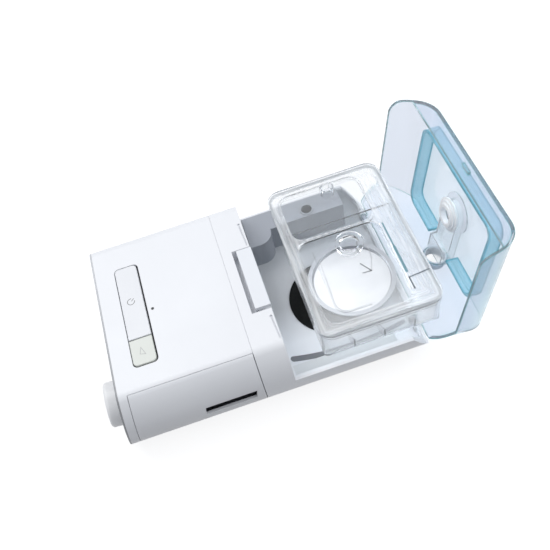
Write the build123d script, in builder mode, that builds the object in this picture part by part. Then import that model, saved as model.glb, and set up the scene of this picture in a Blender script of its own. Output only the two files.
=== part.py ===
"""A bilevel breathing therapy machine with its heated humidifier, in millimetres.

X runs from the display end to the hinge of the humidifier lid, Y runs across the
machine and Z runs up. The origin is on the table, under the middle of the base.
The lid stands open and the water tank is half lifted out of its tub.
"""

import os
from math import asin, atan, cos, degrees, radians, sin

from build123d import *

os.makedirs("parts", exist_ok=True)

# Outline of the machine
length = 284.0
half_width = 96.5
height = 84.0
foot_height = 2.0
side_low = 39.0
side_high = 46.0
crease_run = 17.5
crease_rounding = 10.0
front_lean = 12.0
rear_corner = 18.0
wall = 2.5
split_height = 14.0
fit_gap = 0.3
touch_gap = 0.05

# Where the therapy unit ends and the humidifier begins
unit_length = 131.0
unit_joint = 0.25
deck_length = 27.3

# Front bezel, display and control dial
bezel_lip = 1.6
bezel_thickness = 4.0
bezel_rounding = 1.0
window_centre = 15.0
window_height = 45.0
window_width = 90.0
window_rise = 38.0
window_corner = 5.0
window_thickness = 1.6
display_thickness = 4.0
display_border = 3.0
dial_side_gap = 34.5
dial_height = 46.0
dial_radius = 20.0
dial_depth = 11.0
dial_rounding = 3.0
dial_wall = 2.4
dial_gap = 0.5
dial_shaft = 3.0
shaft_length = 10.0
bushing_radius = 6.0
encoder_size = 16.0
encoder_depth = 7.0

# Buttons in the top cover
button_front = -110.0
button_length = 20.6
power_near = -28.7
power_far = 50.5
ramp_near = -55.6
button_split = 1.0
button_corner = 4.0
button_gap = 0.6
button_wide_gap = 1.6
button_thickness = 3.2
button_proud = 0.2
button_rounding = 0.6
stem_radius = 3.0
stem_length = 6.5
stem_clearance = 0.08
tray_rim = 2.0
tray_depth = 3.0
tray_floor = 1.5
switch_size = 6.0
switch_height = 2.0
switch_free = 1.0
board_thickness = 1.6
sensor_x = -83.3
sensor_y = -3.7
sensor_radius = 1.4
sensor_flange = 2.3

# Side door, its air slot and the filter behind it
door_setback = 8.0
door_bottom = 18.2
door_gap = 0.35
door_bottom_gap = 0.6
door_hinge_rise = 1.3
door_hinge_depth = 1.6
door_pin = 0.8
door_pin_clearance = 0.06
door_pin_length = 5.0
door_knuckle = 1.7
door_ear = 3.0
door_ear_reach = 3.5
slot_front = -65.5
slot_rear = -19.2
slot_low = 38.5
slot_high = 49.5
slot_slant = 1.5
frame_setback = 20.5
frame_thickness = 2.0
filter_length = 52.0
filter_height = 19.0
filter_depth = 8.0
filter_ledge = 3.0
pocket_wall = 1.5

# Inside the therapy unit
rear_panel_thickness = 2.5
post_radius = 3.6
post_inset = 10.5
front_post_inset = 24.0
post_near = -30.0
post_side_gap = 32.5
post_channel_gap = 13.0
screw_radius = 1.5
screw_head = 3.0
screw_head_height = 2.6
screw_recess = 4.0
main_board_front = -112.0
main_board_rear = -30.0
main_board_side_gap = 27.5
main_board_blower_gap = 9.0
main_board_height = 12.0
standoff_radius = 3.0
chip_size = 14.0
chip_height = 2.5
chip_from_front = 24.0
chip_from_middle = 2.5
memory_length = 10.0
memory_width = 7.0
memory_from_front = 46.0
memory_from_middle = -9.5
capacitor_radius = 4.0
capacitor_height = 16.0
capacitor_pitch_x = 10.0
capacitor_pitch_y = 12.0
capacitor_from_rear = 14.0
capacitor_from_far = 22.0
socket_length = 14.0
socket_width = 5.0
socket_height = 8.0
socket_pitch = 18.0
socket_from_front = 40.0
socket_from_far = 4.0
blower_x = -78.0
blower_side_gap = 61.5
blower_radius = 40.0
blower_bottom = 16.0
blower_split = 33.0
blower_top = 50.0
blower_wall = 2.0
blower_inlet = 14.0
channel_width = 22.0
channel_low = 22.0
channel_high = 46.0
impeller_radius = 33.0
impeller_bottom = 22.0
impeller_plate = 1.6
impeller_height = 18.0
impeller_eye = 12.0
blade_count = 9
blade_thickness = 1.4
blade_bow = 9.0
motor_radius = 17.0
motor_height = 17.0
motor_shaft = 2.0
shaft_clearance = 0.05
mount_radius = 6.0
mount_circle = 28.0
mount_angles = (30, 150, 270)
jack_x = -32.0
jack_z = 30.0
jack_radius = 5.0
jack_pin = 1.0
jack_depth = 12.0
foot_width = 12.0
foot_length = 100.0
foot_corner = 3.0
foot_seat = 1.0
unit_foot_inset = 12.0
unit_foot_rear_inset = 23.0
tub_foot_inset = 10.6
tub_foot_rear_inset = 12.0
tub_post_inset = 21.0

# Air path from the blower to the lid
duct_side_gap = 31.5
duct_z = 34.0
duct_radius = 8.0
duct_wall = 1.5

# Humidifier tub
rim_height = 44.4
slope_start = 126.0
rear_rim = 24.0
tub_floor = 14.0
tub_floor_thickness = 2.0
tub_wall = 1.8
heater_x = 76.9
heater_y = -8.3
heater_radius = 40.3
heater_proud = 1.9
heater_plug = 37.8
heater_depth = 5.0
insulator_depth = 2.5
dry_box_rear = 43.0
dry_box_side_gap = 42.5
dry_duct_side_gap = 27.5
dry_duct_rear = 120.0
dry_box_corner = 14.0
dry_box_top = 46.0
dry_box_wall = 2.0
dry_cover_thickness = 1.5
inlet_x = 84.0
inlet_side_gap = 19.5
inlet_radius = 7.0
seal_height = 1.2
rail_width = 4.0
rail_top = 38.0
rail_thickness = 3.0

# Latch in the top deck
recess_front = -1.0
recess_near = -42.5
recess_far = 28.5
recess_depth = 13.0
flap_front = 3.0
flap_rear = 17.2
flap_near = -38.6
flap_far = 28.0
flap_thickness = 3.0
latch_pin = 1.2
latch_pin_x = 5.5
latch_pin_drop = 4.6
latch_lug = 2.6
latch_clearance = 0.05
slot_width = 1.2
slot_depth = 1.5

# Lid of the humidifier, drawn shut and then opened
lid_front = 18.0
lid_gap = 0.6
lid_lip = 18.0
lid_crease = 24.0
lid_skirt_corner = 12.0
lid_open = 98.0
hinge_x = 140.0
hinge_z = 20.0
hinge_radius = 3.2
hinge_pin = 1.6
hinge_clearance = 0.05
lug_inner = 60.0
lug_outer = 70.0
ear_width = 4.0
hinge_side_gap = 0.3
catch_reach = 3.2
catch_near = -11.0
catch_far = 1.0
catch_top = 75.2
catch_thickness = 2.5
ring_front = 28.0
ring_rear = 126.0
ring_side_gap = 10.5
ring_wall = 3.0
ring_bottom = 69.0
ring_corner = 12.0
outlet_x = 80.0
lid_duct_half = 14.0
lid_duct_bottom = 73.5
plenum_front = 120.0
plenum_bottom = 67.5
port_height = 70.0
port_radius = 11.0
port_bore = 9.5
port_proud = 8.0
port_collar = 13.0
port_collar_depth = 1.5
lid_seal_face = 68.2
lid_seal_radius = 11.5
lid_seal_widening = 2.5
duct_disc_radius = 20.0
lid_seal_bore = 8.0

# Water tank, drawn in its tub and then lifted part of the way out
tank_front = 25.0
tank_rear = 136.0
tank_side_gap = 11.5
tank_bottom = 18.5
tank_top = 62.0
tank_wall = 2.0
tank_side_radius = 20.0
tank_rear_radius = 17.0
tank_front_radius = 8.0
tank_step_radius = 5.0
tank_corner = 12.0
tank_step_y = 42.0
tank_step_z = 49.0
tank_flange = 1.2
tank_ribs = (52.0, 80.0, 108.0)
tank_rib_rise = 8.5
tank_rib_plate_gap = 6.2
tank_rib_thickness = 1.6
tank_lift_x = 23.2
tank_lift_z = 12.5
plate_radius = 38.0
plate_thickness = 1.2
plate_flange = 42.0
gasket_thickness = 0.8
cover_top = 66.0
cover_thickness = 1.8
cover_gasket = 1.0
cover_border = 9.0
cover_rear_border = 23.0
cover_dish = 2.0
cover_bar_y = 18.0
cover_bar_width = 3.0
cover_ridge_x = 46.0
cover_ridge_y = -67.0
cover_ridge_rear = 76.0
cover_ridge_far = 4.0
cover_ridge_bend = 10.0
cover_ridge_width = 1.2
cover_ridge_height = 0.8
cover_clip_xs = (44.0, 100.0)
cover_clip_length = 15.0
cover_clip_width = 5.0
cover_clip_height = 0.8
collar_radius = 13.0
collar_bore = 9.0
collar_height = 1.9

# Lengths and places that follow from the sizes above
front_x = -length / 2
rear_x = length / 2
unit_rear = front_x + unit_length
base_front = unit_rear + unit_joint
tub_front = base_front + deck_length
low_radius = side_low - foot_height
crease_half_width = half_width - crease_run
duct_y = half_width - duct_side_gap
dial_offset = -(half_width - dial_side_gap)
blower_y = half_width - blower_side_gap
channel_far = blower_y + blower_radius
channel_near = channel_far - channel_width
frame_plane = -(half_width - frame_setback)
front_post_far = half_width - post_side_gap
rear_post_far = channel_near - post_channel_gap
main_board_near = -(half_width - main_board_side_gap)
main_board_far = blower_y - blower_radius - main_board_blower_gap
main_board_middle = (main_board_near + main_board_far) / 2
dry_box_near = half_width - dry_box_side_gap
dry_duct_near = half_width - dry_duct_side_gap
inlet_y = half_width - inlet_side_gap
ring_half = crease_half_width - ring_side_gap
tank_half = half_width - tank_side_gap
high_radius = (crease_run**2 + (height - side_high) ** 2) / (2 * crease_run)
lean = atan(front_lean / (height - foot_height))
front_face = Plane(
    origin=(front_x, 0, foot_height),
    x_dir=(0, -1, 0),
    z_dir=(-cos(lean), 0, sin(lean)),
)
forward = Axis(front_face.origin, front_face.z_dir)
top_inside = height - wall
lid_axis = Axis((hinge_x, 0, hinge_z), (0, 1, 0))
tank_lift = Location((tank_lift_x, 0, tank_lift_z))


def hull_outline(inset=0.0, crease_fillet=None):
    """Section across the machine: flat top, curved sides and a flat bottom."""
    rounding = crease_rounding - inset if crease_fillet is None else crease_fillet
    half = half_width - inset
    top = height - inset
    low = low_radius - inset
    high = high_radius - inset
    swing = degrees(asin((top - side_high) / high))
    with BuildSketch() as section:
        with BuildLine():
            Line((0, side_low - low), (half - low, side_low - low))
            CenterArc((half - low, side_low), low, -90, 90)
            Line((half, side_low), (half, side_high))
            crest = CenterArc((half - high, side_high), high, 0, swing)
            Line(crest @ 1, (0, top))
            mirror(about=Plane.YZ)
        make_face()
        fillet(section.vertices().group_by(Axis.Y)[-1], rounding)
    return section.sketch


def hull_block(start, end, inset=0.0, crease_fillet=None):
    """Length of the machine's outline between two places along X."""
    with BuildPart() as block:
        with BuildSketch(Plane.YZ.offset(start)):
            add(hull_outline(inset, crease_fillet))
        extrude(amount=end - start)
    return block.part


def rear_block(start, end, inset=0.0, crease_fillet=None):
    """The same length with the rear corners rounded in plan."""
    corner = rear_corner - inset
    with BuildPart() as block:
        add(hull_block(start, end, inset, crease_fillet))
        with BuildSketch():
            with Locations(((start + end - corner) / 2, 0)):
                Rectangle(end - corner - start, 2 * (half_width + wall))
            with Locations((end - 2 * corner, 0)):
                RectangleRounded(4 * corner, 2 * (half_width - inset), corner)
        extrude(amount=height, mode=Mode.INTERSECT)
    return block.part


def box_between(x_range, y_range, z_range, corner=0.0):
    """Block between six limits, with its upright edges rounded if asked."""
    with BuildPart() as block:
        with BuildSketch(Plane.XY.offset(z_range[0])):
            with Locations(((x_range[0] + x_range[1]) / 2, (y_range[0] + y_range[1]) / 2)):
                Rectangle(x_range[1] - x_range[0], y_range[1] - y_range[0])
            if corner > 0:
                fillet(vertices(), corner)
        extrude(amount=z_range[1] - z_range[0])
    return block.part


def cylinder_between(plane, radius, start, end, bore=0.0):
    """Round bar or tube along the normal of a plane."""
    with BuildPart() as bar:
        with BuildSketch(plane.offset(start)):
            Circle(radius)
            if bore > 0:
                Circle(bore, mode=Mode.SUBTRACT)
        extrude(amount=end - start)
    return bar.part


def above_rim(rise, start, corner=0.0):
    """Everything above the line where the lid meets the tub, seen from the side."""
    with BuildPart() as block:
        with BuildSketch(Plane.XZ):
            with BuildLine():
                Polyline(
                    (start, rim_height + rise),
                    (slope_start, rim_height + rise),
                    (rear_x - wall, rear_rim + rise),
                    (rear_x + wall, rear_rim + rise),
                    (rear_x + wall, height + wall),
                    (start, height + wall),
                    close=True,
                )
            make_face()
            if corner > 0:
                fillet(vertices().group_by(Axis.X)[0].sort_by(Axis.Y)[0], corner)
        extrude(amount=half_width + wall, both=True)
    return block.part


def upright(x, y):
    """Plane on the table at a place, for upright round pieces."""
    return Plane(origin=(x, y, 0))


def foot_strip(x):
    """Rubber strip across the underside, seated in a shallow groove."""
    return box_between(
        (x - foot_width / 2, x + foot_width / 2),
        (-foot_length / 2, foot_length / 2),
        (0, foot_height + foot_seat),
        foot_corner,
    )


screw_places = [
    (front_x + front_post_inset, post_near),
    (front_x + front_post_inset, front_post_far),
    (unit_rear - post_inset, post_near),
    (unit_rear - post_inset, rear_post_far),
]
tub_screw_places = [
    (base_front + tub_post_inset, post_near),
    (base_front + tub_post_inset, -post_near),
]


def on_face(y, z):
    """Place on the leaning front face, from a height over the table."""
    return (-y, (z - foot_height) / cos(lean))


def front_slab(outer, inner, inset):
    """Slice of the outline between two depths behind the front face."""
    with BuildPart() as slab:
        add(hull_block(front_x, front_x + 2 * front_lean, inset))
        split(bisect_by=front_face.offset(-outer), keep=Keep.BOTTOM)
        split(bisect_by=front_face.offset(-inner), keep=Keep.TOP)
    return slab.part


with BuildPart() as front_bezel:
    add(front_slab(0, bezel_lip, 0))
    fillet(front_bezel.faces().sort_by(forward)[-1].outer_wire().edges(), bezel_rounding)
    add(front_slab(bezel_lip, bezel_thickness, wall + fit_gap))
    with BuildSketch(front_face):
        with Locations(on_face(window_centre, window_rise + wall)):
            RectangleRounded(window_width, window_height, window_corner)
    extrude(amount=-bezel_thickness, mode=Mode.SUBTRACT)
    with BuildSketch(front_face):
        with Locations(on_face(dial_offset, dial_height)):
            Circle(bushing_radius)
    extrude(amount=-bezel_thickness, mode=Mode.SUBTRACT)
front_bezel.part.label = "front_bezel"
export_step(front_bezel.part, "parts/front_bezel.step")

with BuildPart() as display_window:
    with BuildSketch(front_face.offset(-fit_gap)):
        with Locations(on_face(window_centre, window_rise + wall)):
            RectangleRounded(
                window_width - 2 * touch_gap,
                window_height - 2 * touch_gap,
                window_corner - touch_gap,
            )
    extrude(amount=-window_thickness)
display_window.part.label = "display_window"
export_step(display_window.part, "parts/display_window.step")

with BuildPart() as display_module:
    with BuildSketch(front_face.offset(-bezel_thickness)):
        with Locations(on_face(window_centre, window_rise + wall)):
            Rectangle(window_width + display_border, window_height + display_border)
    extrude(amount=-display_thickness)
    with BuildSketch(front_face.offset(-bezel_thickness)):
        with Locations(on_face(window_centre, window_rise + wall)):
            Rectangle(window_width - display_border, window_height - display_border)
    extrude(amount=bezel_thickness - window_thickness - 2 * fit_gap)
display_module.part.label = "display_module"
export_step(display_module.part, "parts/display_module.step")

# Control dial on the shaft of its encoder
dial_seat = Plane(
    origin=front_face.from_local_coords((*on_face(dial_offset, dial_height), 0)),
    x_dir=front_face.x_dir,
    z_dir=front_face.z_dir,
)

with BuildPart() as control_dial:
    with BuildSketch(dial_seat.offset(dial_gap)):
        Circle(dial_radius)
    extrude(amount=dial_depth)
    fillet(control_dial.faces().sort_by(forward)[-1].edges(), dial_rounding)
    with BuildSketch(dial_seat.offset(dial_gap)):
        Circle(dial_radius - dial_wall)
        Circle(bushing_radius + dial_wall, mode=Mode.SUBTRACT)
    extrude(amount=dial_depth - 2 * dial_wall, mode=Mode.SUBTRACT)
    with BuildSketch(dial_seat.offset(dial_gap)):
        Circle(dial_shaft)
    extrude(amount=-shaft_length)
control_dial.part.label = "control_dial"
export_step(control_dial.part, "parts/control_dial.step")

with BuildPart() as dial_encoder:
    with BuildSketch(dial_seat.offset(-bezel_thickness)):
        Circle(bushing_radius - touch_gap)
    extrude(amount=bezel_thickness)
    with BuildSketch(dial_seat.offset(-bezel_thickness)):
        RectangleRounded(encoder_size, encoder_size, dial_wall)
    extrude(amount=-encoder_depth)
    with BuildSketch(dial_seat):
        Circle(dial_shaft + shaft_clearance)
    extrude(amount=-shaft_length, mode=Mode.SUBTRACT)
dial_encoder.part.label = "dial_encoder"
export_step(dial_encoder.part, "parts/dial_encoder.step")

# Top cover of the therapy unit
door_face = front_face.offset(-bezel_lip - door_setback)
door_rear = unit_rear - door_gap
hinge_arm = low_radius - door_hinge_depth
door_hinge_z = door_bottom + door_hinge_rise
door_hinge_y = -(half_width - low_radius + (hinge_arm**2 - (side_low - door_hinge_z) ** 2) ** 0.5)
button_rear = button_front + button_length
opening_front = button_front - button_gap
opening_rear = button_rear + button_wide_gap
opening_near = ramp_near - button_wide_gap
opening_far = power_far + button_gap
door_pin_plane = Plane(origin=(0, door_hinge_y, door_hinge_z), x_dir=(0, 1, 0), z_dir=(1, 0, 0))
door_front_at_hinge = front_x + (bezel_lip + door_setback) / cos(lean)
door_front_at_hinge += (door_hinge_z - foot_height) * front_lean / (height - foot_height)
ear_front = unit_rear - door_ear
door_pin_front = door_front_at_hinge - door_pin_length / 2
door_pin_rear = ear_front - door_pin_length * 0.7

with BuildPart() as unit_cover:
    add(hull_block(front_x, unit_rear))
    split(bisect_by=front_face.offset(-bezel_lip), keep=Keep.BOTTOM)
    split(bisect_by=Plane.XY.offset(split_height), keep=Keep.TOP)
    add(hull_block(front_x, unit_rear, wall), mode=Mode.SUBTRACT)
    with BuildPart(mode=Mode.PRIVATE) as doorway:
        add(
            box_between(
                (front_x, unit_rear),
                (-half_width - wall, -crease_half_width),
                (door_bottom - door_bottom_gap, height),
            )
        )
        split(bisect_by=door_face.offset(door_gap), keep=Keep.BOTTOM)
        add(
            box_between(
                (ear_front, unit_rear),
                (-half_width - wall, -crease_half_width),
                (0, door_hinge_z + door_knuckle),
            ),
            mode=Mode.SUBTRACT,
        )
    add(doorway.part, mode=Mode.SUBTRACT)
    with BuildSketch(Plane.XY.offset(top_inside)):
        with Locations(((opening_front + opening_rear) / 2, (opening_near + opening_far) / 2)):
            RectangleRounded(
                opening_rear - opening_front,
                opening_far - opening_near,
                button_corner + button_gap,
            )
        with Locations((sensor_x, sensor_y)):
            Circle(sensor_radius)
    extrude(amount=wall, mode=Mode.SUBTRACT)
    for x, y in screw_places:
        add(cylinder_between(upright(x, y), post_radius, split_height, top_inside))
        add(
            cylinder_between(
                upright(x, y),
                screw_radius + touch_gap,
                split_height,
                split_height + 4 * post_radius,
            ),
            mode=Mode.SUBTRACT,
        )
    add(
        cylinder_between(
            door_pin_plane,
            door_pin + touch_gap,
            door_pin_front - touch_gap,
            door_front_at_hinge,
        ),
        mode=Mode.SUBTRACT,
    )
    add(
        cylinder_between(
            door_pin_plane,
            door_pin + touch_gap,
            ear_front,
            door_pin_rear + door_pin_length + touch_gap,
        ),
        mode=Mode.SUBTRACT,
    )
    with BuildSketch(Plane.XZ.offset(-half_width - wall)):
        with Locations((jack_x, jack_z)):
            Circle(jack_radius)
    extrude(amount=4 * wall, mode=Mode.SUBTRACT)
unit_cover.part.label = "unit_cover"
export_step(unit_cover.part, "parts/unit_cover.step")

# Chassis under the therapy unit, with its screw bosses and board standoffs
board_places = [
    (main_board_front + standoff_radius + wall, main_board_near + standoff_radius + wall),
    (main_board_front + standoff_radius + wall, main_board_far - standoff_radius - wall),
    (main_board_rear - standoff_radius - wall, main_board_near + standoff_radius + wall),
    (main_board_rear - standoff_radius - wall, main_board_far - standoff_radius - wall),
]
unit_foot_places = [front_x + unit_foot_inset, unit_rear - unit_foot_rear_inset]
chassis_floor = foot_height + wall

with BuildPart() as unit_chassis:
    add(hull_block(front_x, unit_rear))
    split(bisect_by=front_face.offset(-bezel_lip), keep=Keep.BOTTOM)
    split(bisect_by=Plane.XY.offset(split_height), keep=Keep.BOTTOM)
    add(hull_block(front_x, unit_rear, wall), mode=Mode.SUBTRACT)
    for x, y in screw_places:
        add(cylinder_between(upright(x, y), post_radius, chassis_floor, split_height))
    for x, y in board_places:
        add(cylinder_between(upright(x, y), standoff_radius, chassis_floor, main_board_height))
    for x, y in screw_places:
        add(
            cylinder_between(upright(x, y), screw_head + touch_gap, 0, screw_recess + foot_height),
            mode=Mode.SUBTRACT,
        )
        add(
            cylinder_between(upright(x, y), screw_radius + touch_gap, 0, split_height),
            mode=Mode.SUBTRACT,
        )
    for x in unit_foot_places:
        add(foot_strip(x), mode=Mode.SUBTRACT)
unit_chassis.part.label = "unit_chassis"
export_step(unit_chassis.part, "parts/unit_chassis.step")

with BuildPart() as unit_rear_panel:
    add(hull_block(unit_rear - rear_panel_thickness, unit_rear, wall + fit_gap))
    with BuildSketch(Plane.YZ.offset(unit_rear)):
        with Locations((duct_y, duct_z)):
            Circle(duct_radius + touch_gap)
    extrude(amount=-rear_panel_thickness, mode=Mode.SUBTRACT)
unit_rear_panel.part.label = "unit_rear_panel"
export_step(unit_rear_panel.part, "parts/unit_rear_panel.step")

# Side door over the filter, with the slot that lets the air in
with BuildPart() as side_door:
    add(hull_block(front_x, door_rear))
    split(bisect_by=door_face, keep=Keep.BOTTOM)
    split(bisect_by=Plane.XY.offset(door_bottom), keep=Keep.TOP)
    split(bisect_by=Plane.XZ.offset(crease_half_width + door_gap), keep=Keep.TOP)
    add(hull_block(front_x, unit_rear, wall), mode=Mode.SUBTRACT)
    with BuildPart(mode=Mode.PRIVATE) as knuckle:
        add(
            cylinder_between(
                door_pin_plane,
                door_knuckle,
                door_front_at_hinge + wall,
                ear_front - door_gap,
            )
        )
        split(bisect_by=Plane.XY.offset(door_bottom), keep=Keep.TOP)
    add(knuckle.part)
    add(
        box_between(
            (ear_front - door_gap, unit_rear),
            (-half_width - wall, -crease_half_width),
            (0, door_hinge_z),
        ),
        mode=Mode.SUBTRACT,
    )
    add(
        cylinder_between(
            door_pin_plane, door_ear_reach + door_gap, ear_front - door_gap, unit_rear
        ),
        mode=Mode.SUBTRACT,
    )
    for start, end in (
        (door_front_at_hinge - wall, door_pin_front + door_pin_length + touch_gap),
        (door_pin_rear - touch_gap, ear_front),
    ):
        add(
            cylinder_between(door_pin_plane, door_pin + door_pin_clearance, start, end),
            mode=Mode.SUBTRACT,
        )
    with BuildSketch(Plane.XZ.offset(half_width + wall)):
        with BuildLine():
            Polyline(
                (slot_front, slot_low),
                (slot_rear, slot_low),
                (slot_rear + slot_slant, slot_high),
                (slot_front + slot_slant, slot_high),
                close=True,
            )
        make_face()
    extrude(amount=-4 * wall, mode=Mode.SUBTRACT)
side_door.part.label = "side_door"
export_step(side_door.part, "parts/side_door.step")

with BuildPart() as side_door_pins:
    for start in (door_pin_front, door_pin_rear):
        add(cylinder_between(door_pin_plane, door_pin, start, start + door_pin_length))
side_door_pins.part.label = "side_door_pins"
export_step(side_door_pins.part, "parts/side_door_pins.step")

# Frame behind the door, with the pocket that holds the air filter
filter_x = (slot_front + slot_rear) / 2
filter_z = (slot_low + slot_high) / 2
filter_xs = (filter_x - filter_length / 2, filter_x + filter_length / 2)
filter_zs = (filter_z - filter_height / 2, filter_z + filter_height / 2)
pocket_xs = (filter_xs[0] - pocket_wall, filter_xs[1] + pocket_wall)
pocket_zs = (filter_zs[0] - pocket_wall, filter_zs[1] + pocket_wall)
pocket_mouth = frame_plane - filter_depth - fit_gap
frame_back = frame_plane + frame_thickness

with BuildPart() as side_frame:
    add(hull_block(front_x, unit_rear - rear_panel_thickness - touch_gap, wall + touch_gap))
    split(bisect_by=front_face.offset(-bezel_thickness - touch_gap), keep=Keep.BOTTOM)
    split(bisect_by=Plane.XZ.offset(-frame_plane), keep=Keep.BOTTOM)
    split(bisect_by=Plane.XZ.offset(-frame_back), keep=Keep.TOP)
    add(box_between(pocket_xs, (pocket_mouth, frame_back), pocket_zs))
    add(
        box_between(filter_xs, (pocket_mouth, frame_plane), filter_zs),
        mode=Mode.SUBTRACT,
    )
    add(
        box_between(
            (filter_xs[0] + filter_ledge, filter_xs[1] - filter_ledge),
            (pocket_mouth, frame_back),
            (filter_zs[0] + filter_ledge, filter_zs[1] - filter_ledge),
        ),
        mode=Mode.SUBTRACT,
    )
side_frame.part.label = "side_frame"
export_step(side_frame.part, "parts/side_frame.step")

with BuildPart() as air_filter:
    add(
        box_between(
            (filter_xs[0] + touch_gap, filter_xs[1] - touch_gap),
            (frame_plane - filter_depth, frame_plane),
            (filter_zs[0] + touch_gap, filter_zs[1] - touch_gap),
        )
    )
air_filter.part.label = "air_filter"
export_step(air_filter.part, "parts/air_filter.step")


# Buttons, the tray that guides them and the switches under their stems
def button(near, far, corners):
    """Cap of a button with the stem that presses its switch."""
    with BuildPart() as cap:
        with BuildSketch(Plane.XY.offset(height + button_proud - button_thickness)):
            with Locations(((button_front + button_rear) / 2, (near + far) / 2)):
                Rectangle(button_length, far - near)
            fillet(vertices().sort_by(Axis.Y)[corners], button_corner)
        extrude(amount=button_thickness)
        fillet(cap.faces().sort_by(Axis.Z)[-1].edges(), button_rounding)
        with BuildSketch(Plane.XY.offset(height + button_proud - button_thickness)):
            with Locations(((button_front + button_rear) / 2, (near + far) / 2)):
                Circle(stem_radius)
        extrude(amount=-stem_length)
    return cap.part


ramp_far = power_near - button_split
button_x = (button_front + button_rear) / 2
stem_places = [
    (button_x, (power_near + power_far) / 2),
    (button_x, (ramp_near + ramp_far) / 2),
]

with BuildPart() as power_button:
    add(button(power_near, power_far, slice(2, 4)))
power_button.part.label = "power_button"
export_step(power_button.part, "parts/power_button.step")

with BuildPart() as ramp_button:
    add(button(ramp_near, ramp_far, slice(0, 2)))
ramp_button.part.label = "ramp_button"
export_step(ramp_button.part, "parts/ramp_button.step")

stem_bottom = height + button_proud - button_thickness - stem_length
switch_top = stem_bottom - switch_free
switch_board_top = switch_top - switch_height
tray_places = [
    (opening_front, opening_near),
    (opening_front, opening_far),
    (opening_rear, opening_near),
    (opening_rear, opening_far),
]

with BuildPart() as button_tray:
    add(
        box_between(
            (opening_front - tray_rim, opening_rear + tray_rim),
            (opening_near - tray_rim, opening_far + tray_rim),
            (top_inside - tray_depth, top_inside),
            button_corner,
        )
    )
    add(
        box_between(
            (opening_front, opening_rear),
            (opening_near, opening_far),
            (top_inside - tray_depth + tray_floor, top_inside),
            button_corner + button_gap,
        ),
        mode=Mode.SUBTRACT,
    )
    for x, y in stem_places:
        add(
            cylinder_between(
                upright(x, y),
                stem_radius + stem_clearance,
                top_inside - tray_depth,
                top_inside,
            ),
            mode=Mode.SUBTRACT,
        )
    for x, y in tray_places:
        add(
            cylinder_between(
                upright(x, y),
                tray_rim,
                switch_board_top,
                top_inside - tray_depth,
            )
        )
button_tray.part.label = "button_tray"
export_step(button_tray.part, "parts/button_tray.step")

with BuildPart() as button_switch_board:
    add(
        box_between(
            (opening_front - tray_rim, opening_rear + tray_rim),
            (opening_near - tray_rim, opening_far + tray_rim),
            (switch_board_top - board_thickness, switch_board_top),
        )
    )
    for x, y in stem_places:
        add(
            box_between(
                (x - switch_size / 2, x + switch_size / 2),
                (y - switch_size / 2, y + switch_size / 2),
                (switch_board_top, switch_top - switch_height / 4),
            )
        )
        add(cylinder_between(upright(x, y), stem_radius / 2, switch_board_top, switch_top))
button_switch_board.part.label = "button_switch_board"
export_step(button_switch_board.part, "parts/button_switch_board.step")

with BuildPart() as light_sensor:
    add(
        cylinder_between(
            upright(sensor_x, sensor_y),
            sensor_radius - touch_gap,
            top_inside,
            height - touch_gap,
        )
    )
    add(
        cylinder_between(
            upright(sensor_x, sensor_y), sensor_flange, top_inside - board_thickness, top_inside
        )
    )
light_sensor.part.label = "light_sensor"
export_step(light_sensor.part, "parts/light_sensor.step")

# Electronics board with its chips, capacitors and cable sockets
board_top = main_board_height + board_thickness

with BuildPart() as main_board:
    add(
        box_between(
            (main_board_front, main_board_rear),
            (main_board_near, main_board_far),
            (main_board_height, board_top),
        )
    )
    with BuildSketch(Plane.XY.offset(board_top)):
        with Locations((main_board_front + chip_from_front, main_board_middle + chip_from_middle)):
            Rectangle(chip_size, chip_size)
        with Locations((main_board_front + memory_from_front, main_board_middle + memory_from_middle)):
            Rectangle(memory_length, memory_width)
    extrude(amount=chip_height)
    with BuildSketch(Plane.XY.offset(board_top)):
        with Locations((main_board_rear - capacitor_from_rear, main_board_far - capacitor_from_far)):
            with GridLocations(capacitor_pitch_x, capacitor_pitch_y, 2, 2):
                Circle(capacitor_radius)
    extrude(amount=capacitor_height)
    with BuildSketch(Plane.XY.offset(board_top)):
        with Locations((main_board_front + socket_from_front, main_board_far - socket_from_far)):
            with GridLocations(socket_pitch, 0, 3, 1):
                Rectangle(socket_length, socket_width)
    extrude(amount=socket_height)
main_board.part.label = "main_board"
export_step(main_board.part, "parts/main_board.step")

# Blower: two housing halves, the bladed wheel and its motor
blower_plane = upright(blower_x, blower_y)
blower_mount_places = [
    (blower_x + mount_circle * cos(radians(angle)), blower_y + mount_circle * sin(radians(angle)))
    for angle in mount_angles
]
channel_end = unit_rear - rear_panel_thickness - duct_wall


def volute(inset, low, high):
    """Round blower chamber with the straight channel that leaves it."""
    with BuildPart() as chamber:
        add(cylinder_between(blower_plane, blower_radius - inset, low, high))
        add(
            box_between(
                (blower_x, channel_end),
                (channel_near + inset, channel_far - inset),
                (max(low, channel_low + inset), min(high, channel_high - inset)),
            )
        )
    return chamber.part


with BuildPart() as blower_housing_lower:
    add(volute(0, blower_bottom, blower_split))
    add(volute(blower_wall, blower_bottom + blower_wall, blower_split), mode=Mode.SUBTRACT)
    add(
        cylinder_between(blower_plane, blower_inlet, blower_bottom, blower_bottom + blower_wall),
        mode=Mode.SUBTRACT,
    )
blower_housing_lower.part.label = "blower_housing_lower"
export_step(blower_housing_lower.part, "parts/blower_housing_lower.step")

with BuildPart() as blower_housing_upper:
    add(volute(0, blower_split, blower_top))
    add(volute(blower_wall, blower_split, blower_top - blower_wall), mode=Mode.SUBTRACT)
    add(
        cylinder_between(
            blower_plane,
            2 * motor_shaft,
            blower_top - blower_wall,
            blower_top,
        ),
        mode=Mode.SUBTRACT,
    )
blower_housing_upper.part.label = "blower_housing_upper"
export_step(blower_housing_upper.part, "parts/blower_housing_upper.step")

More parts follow.
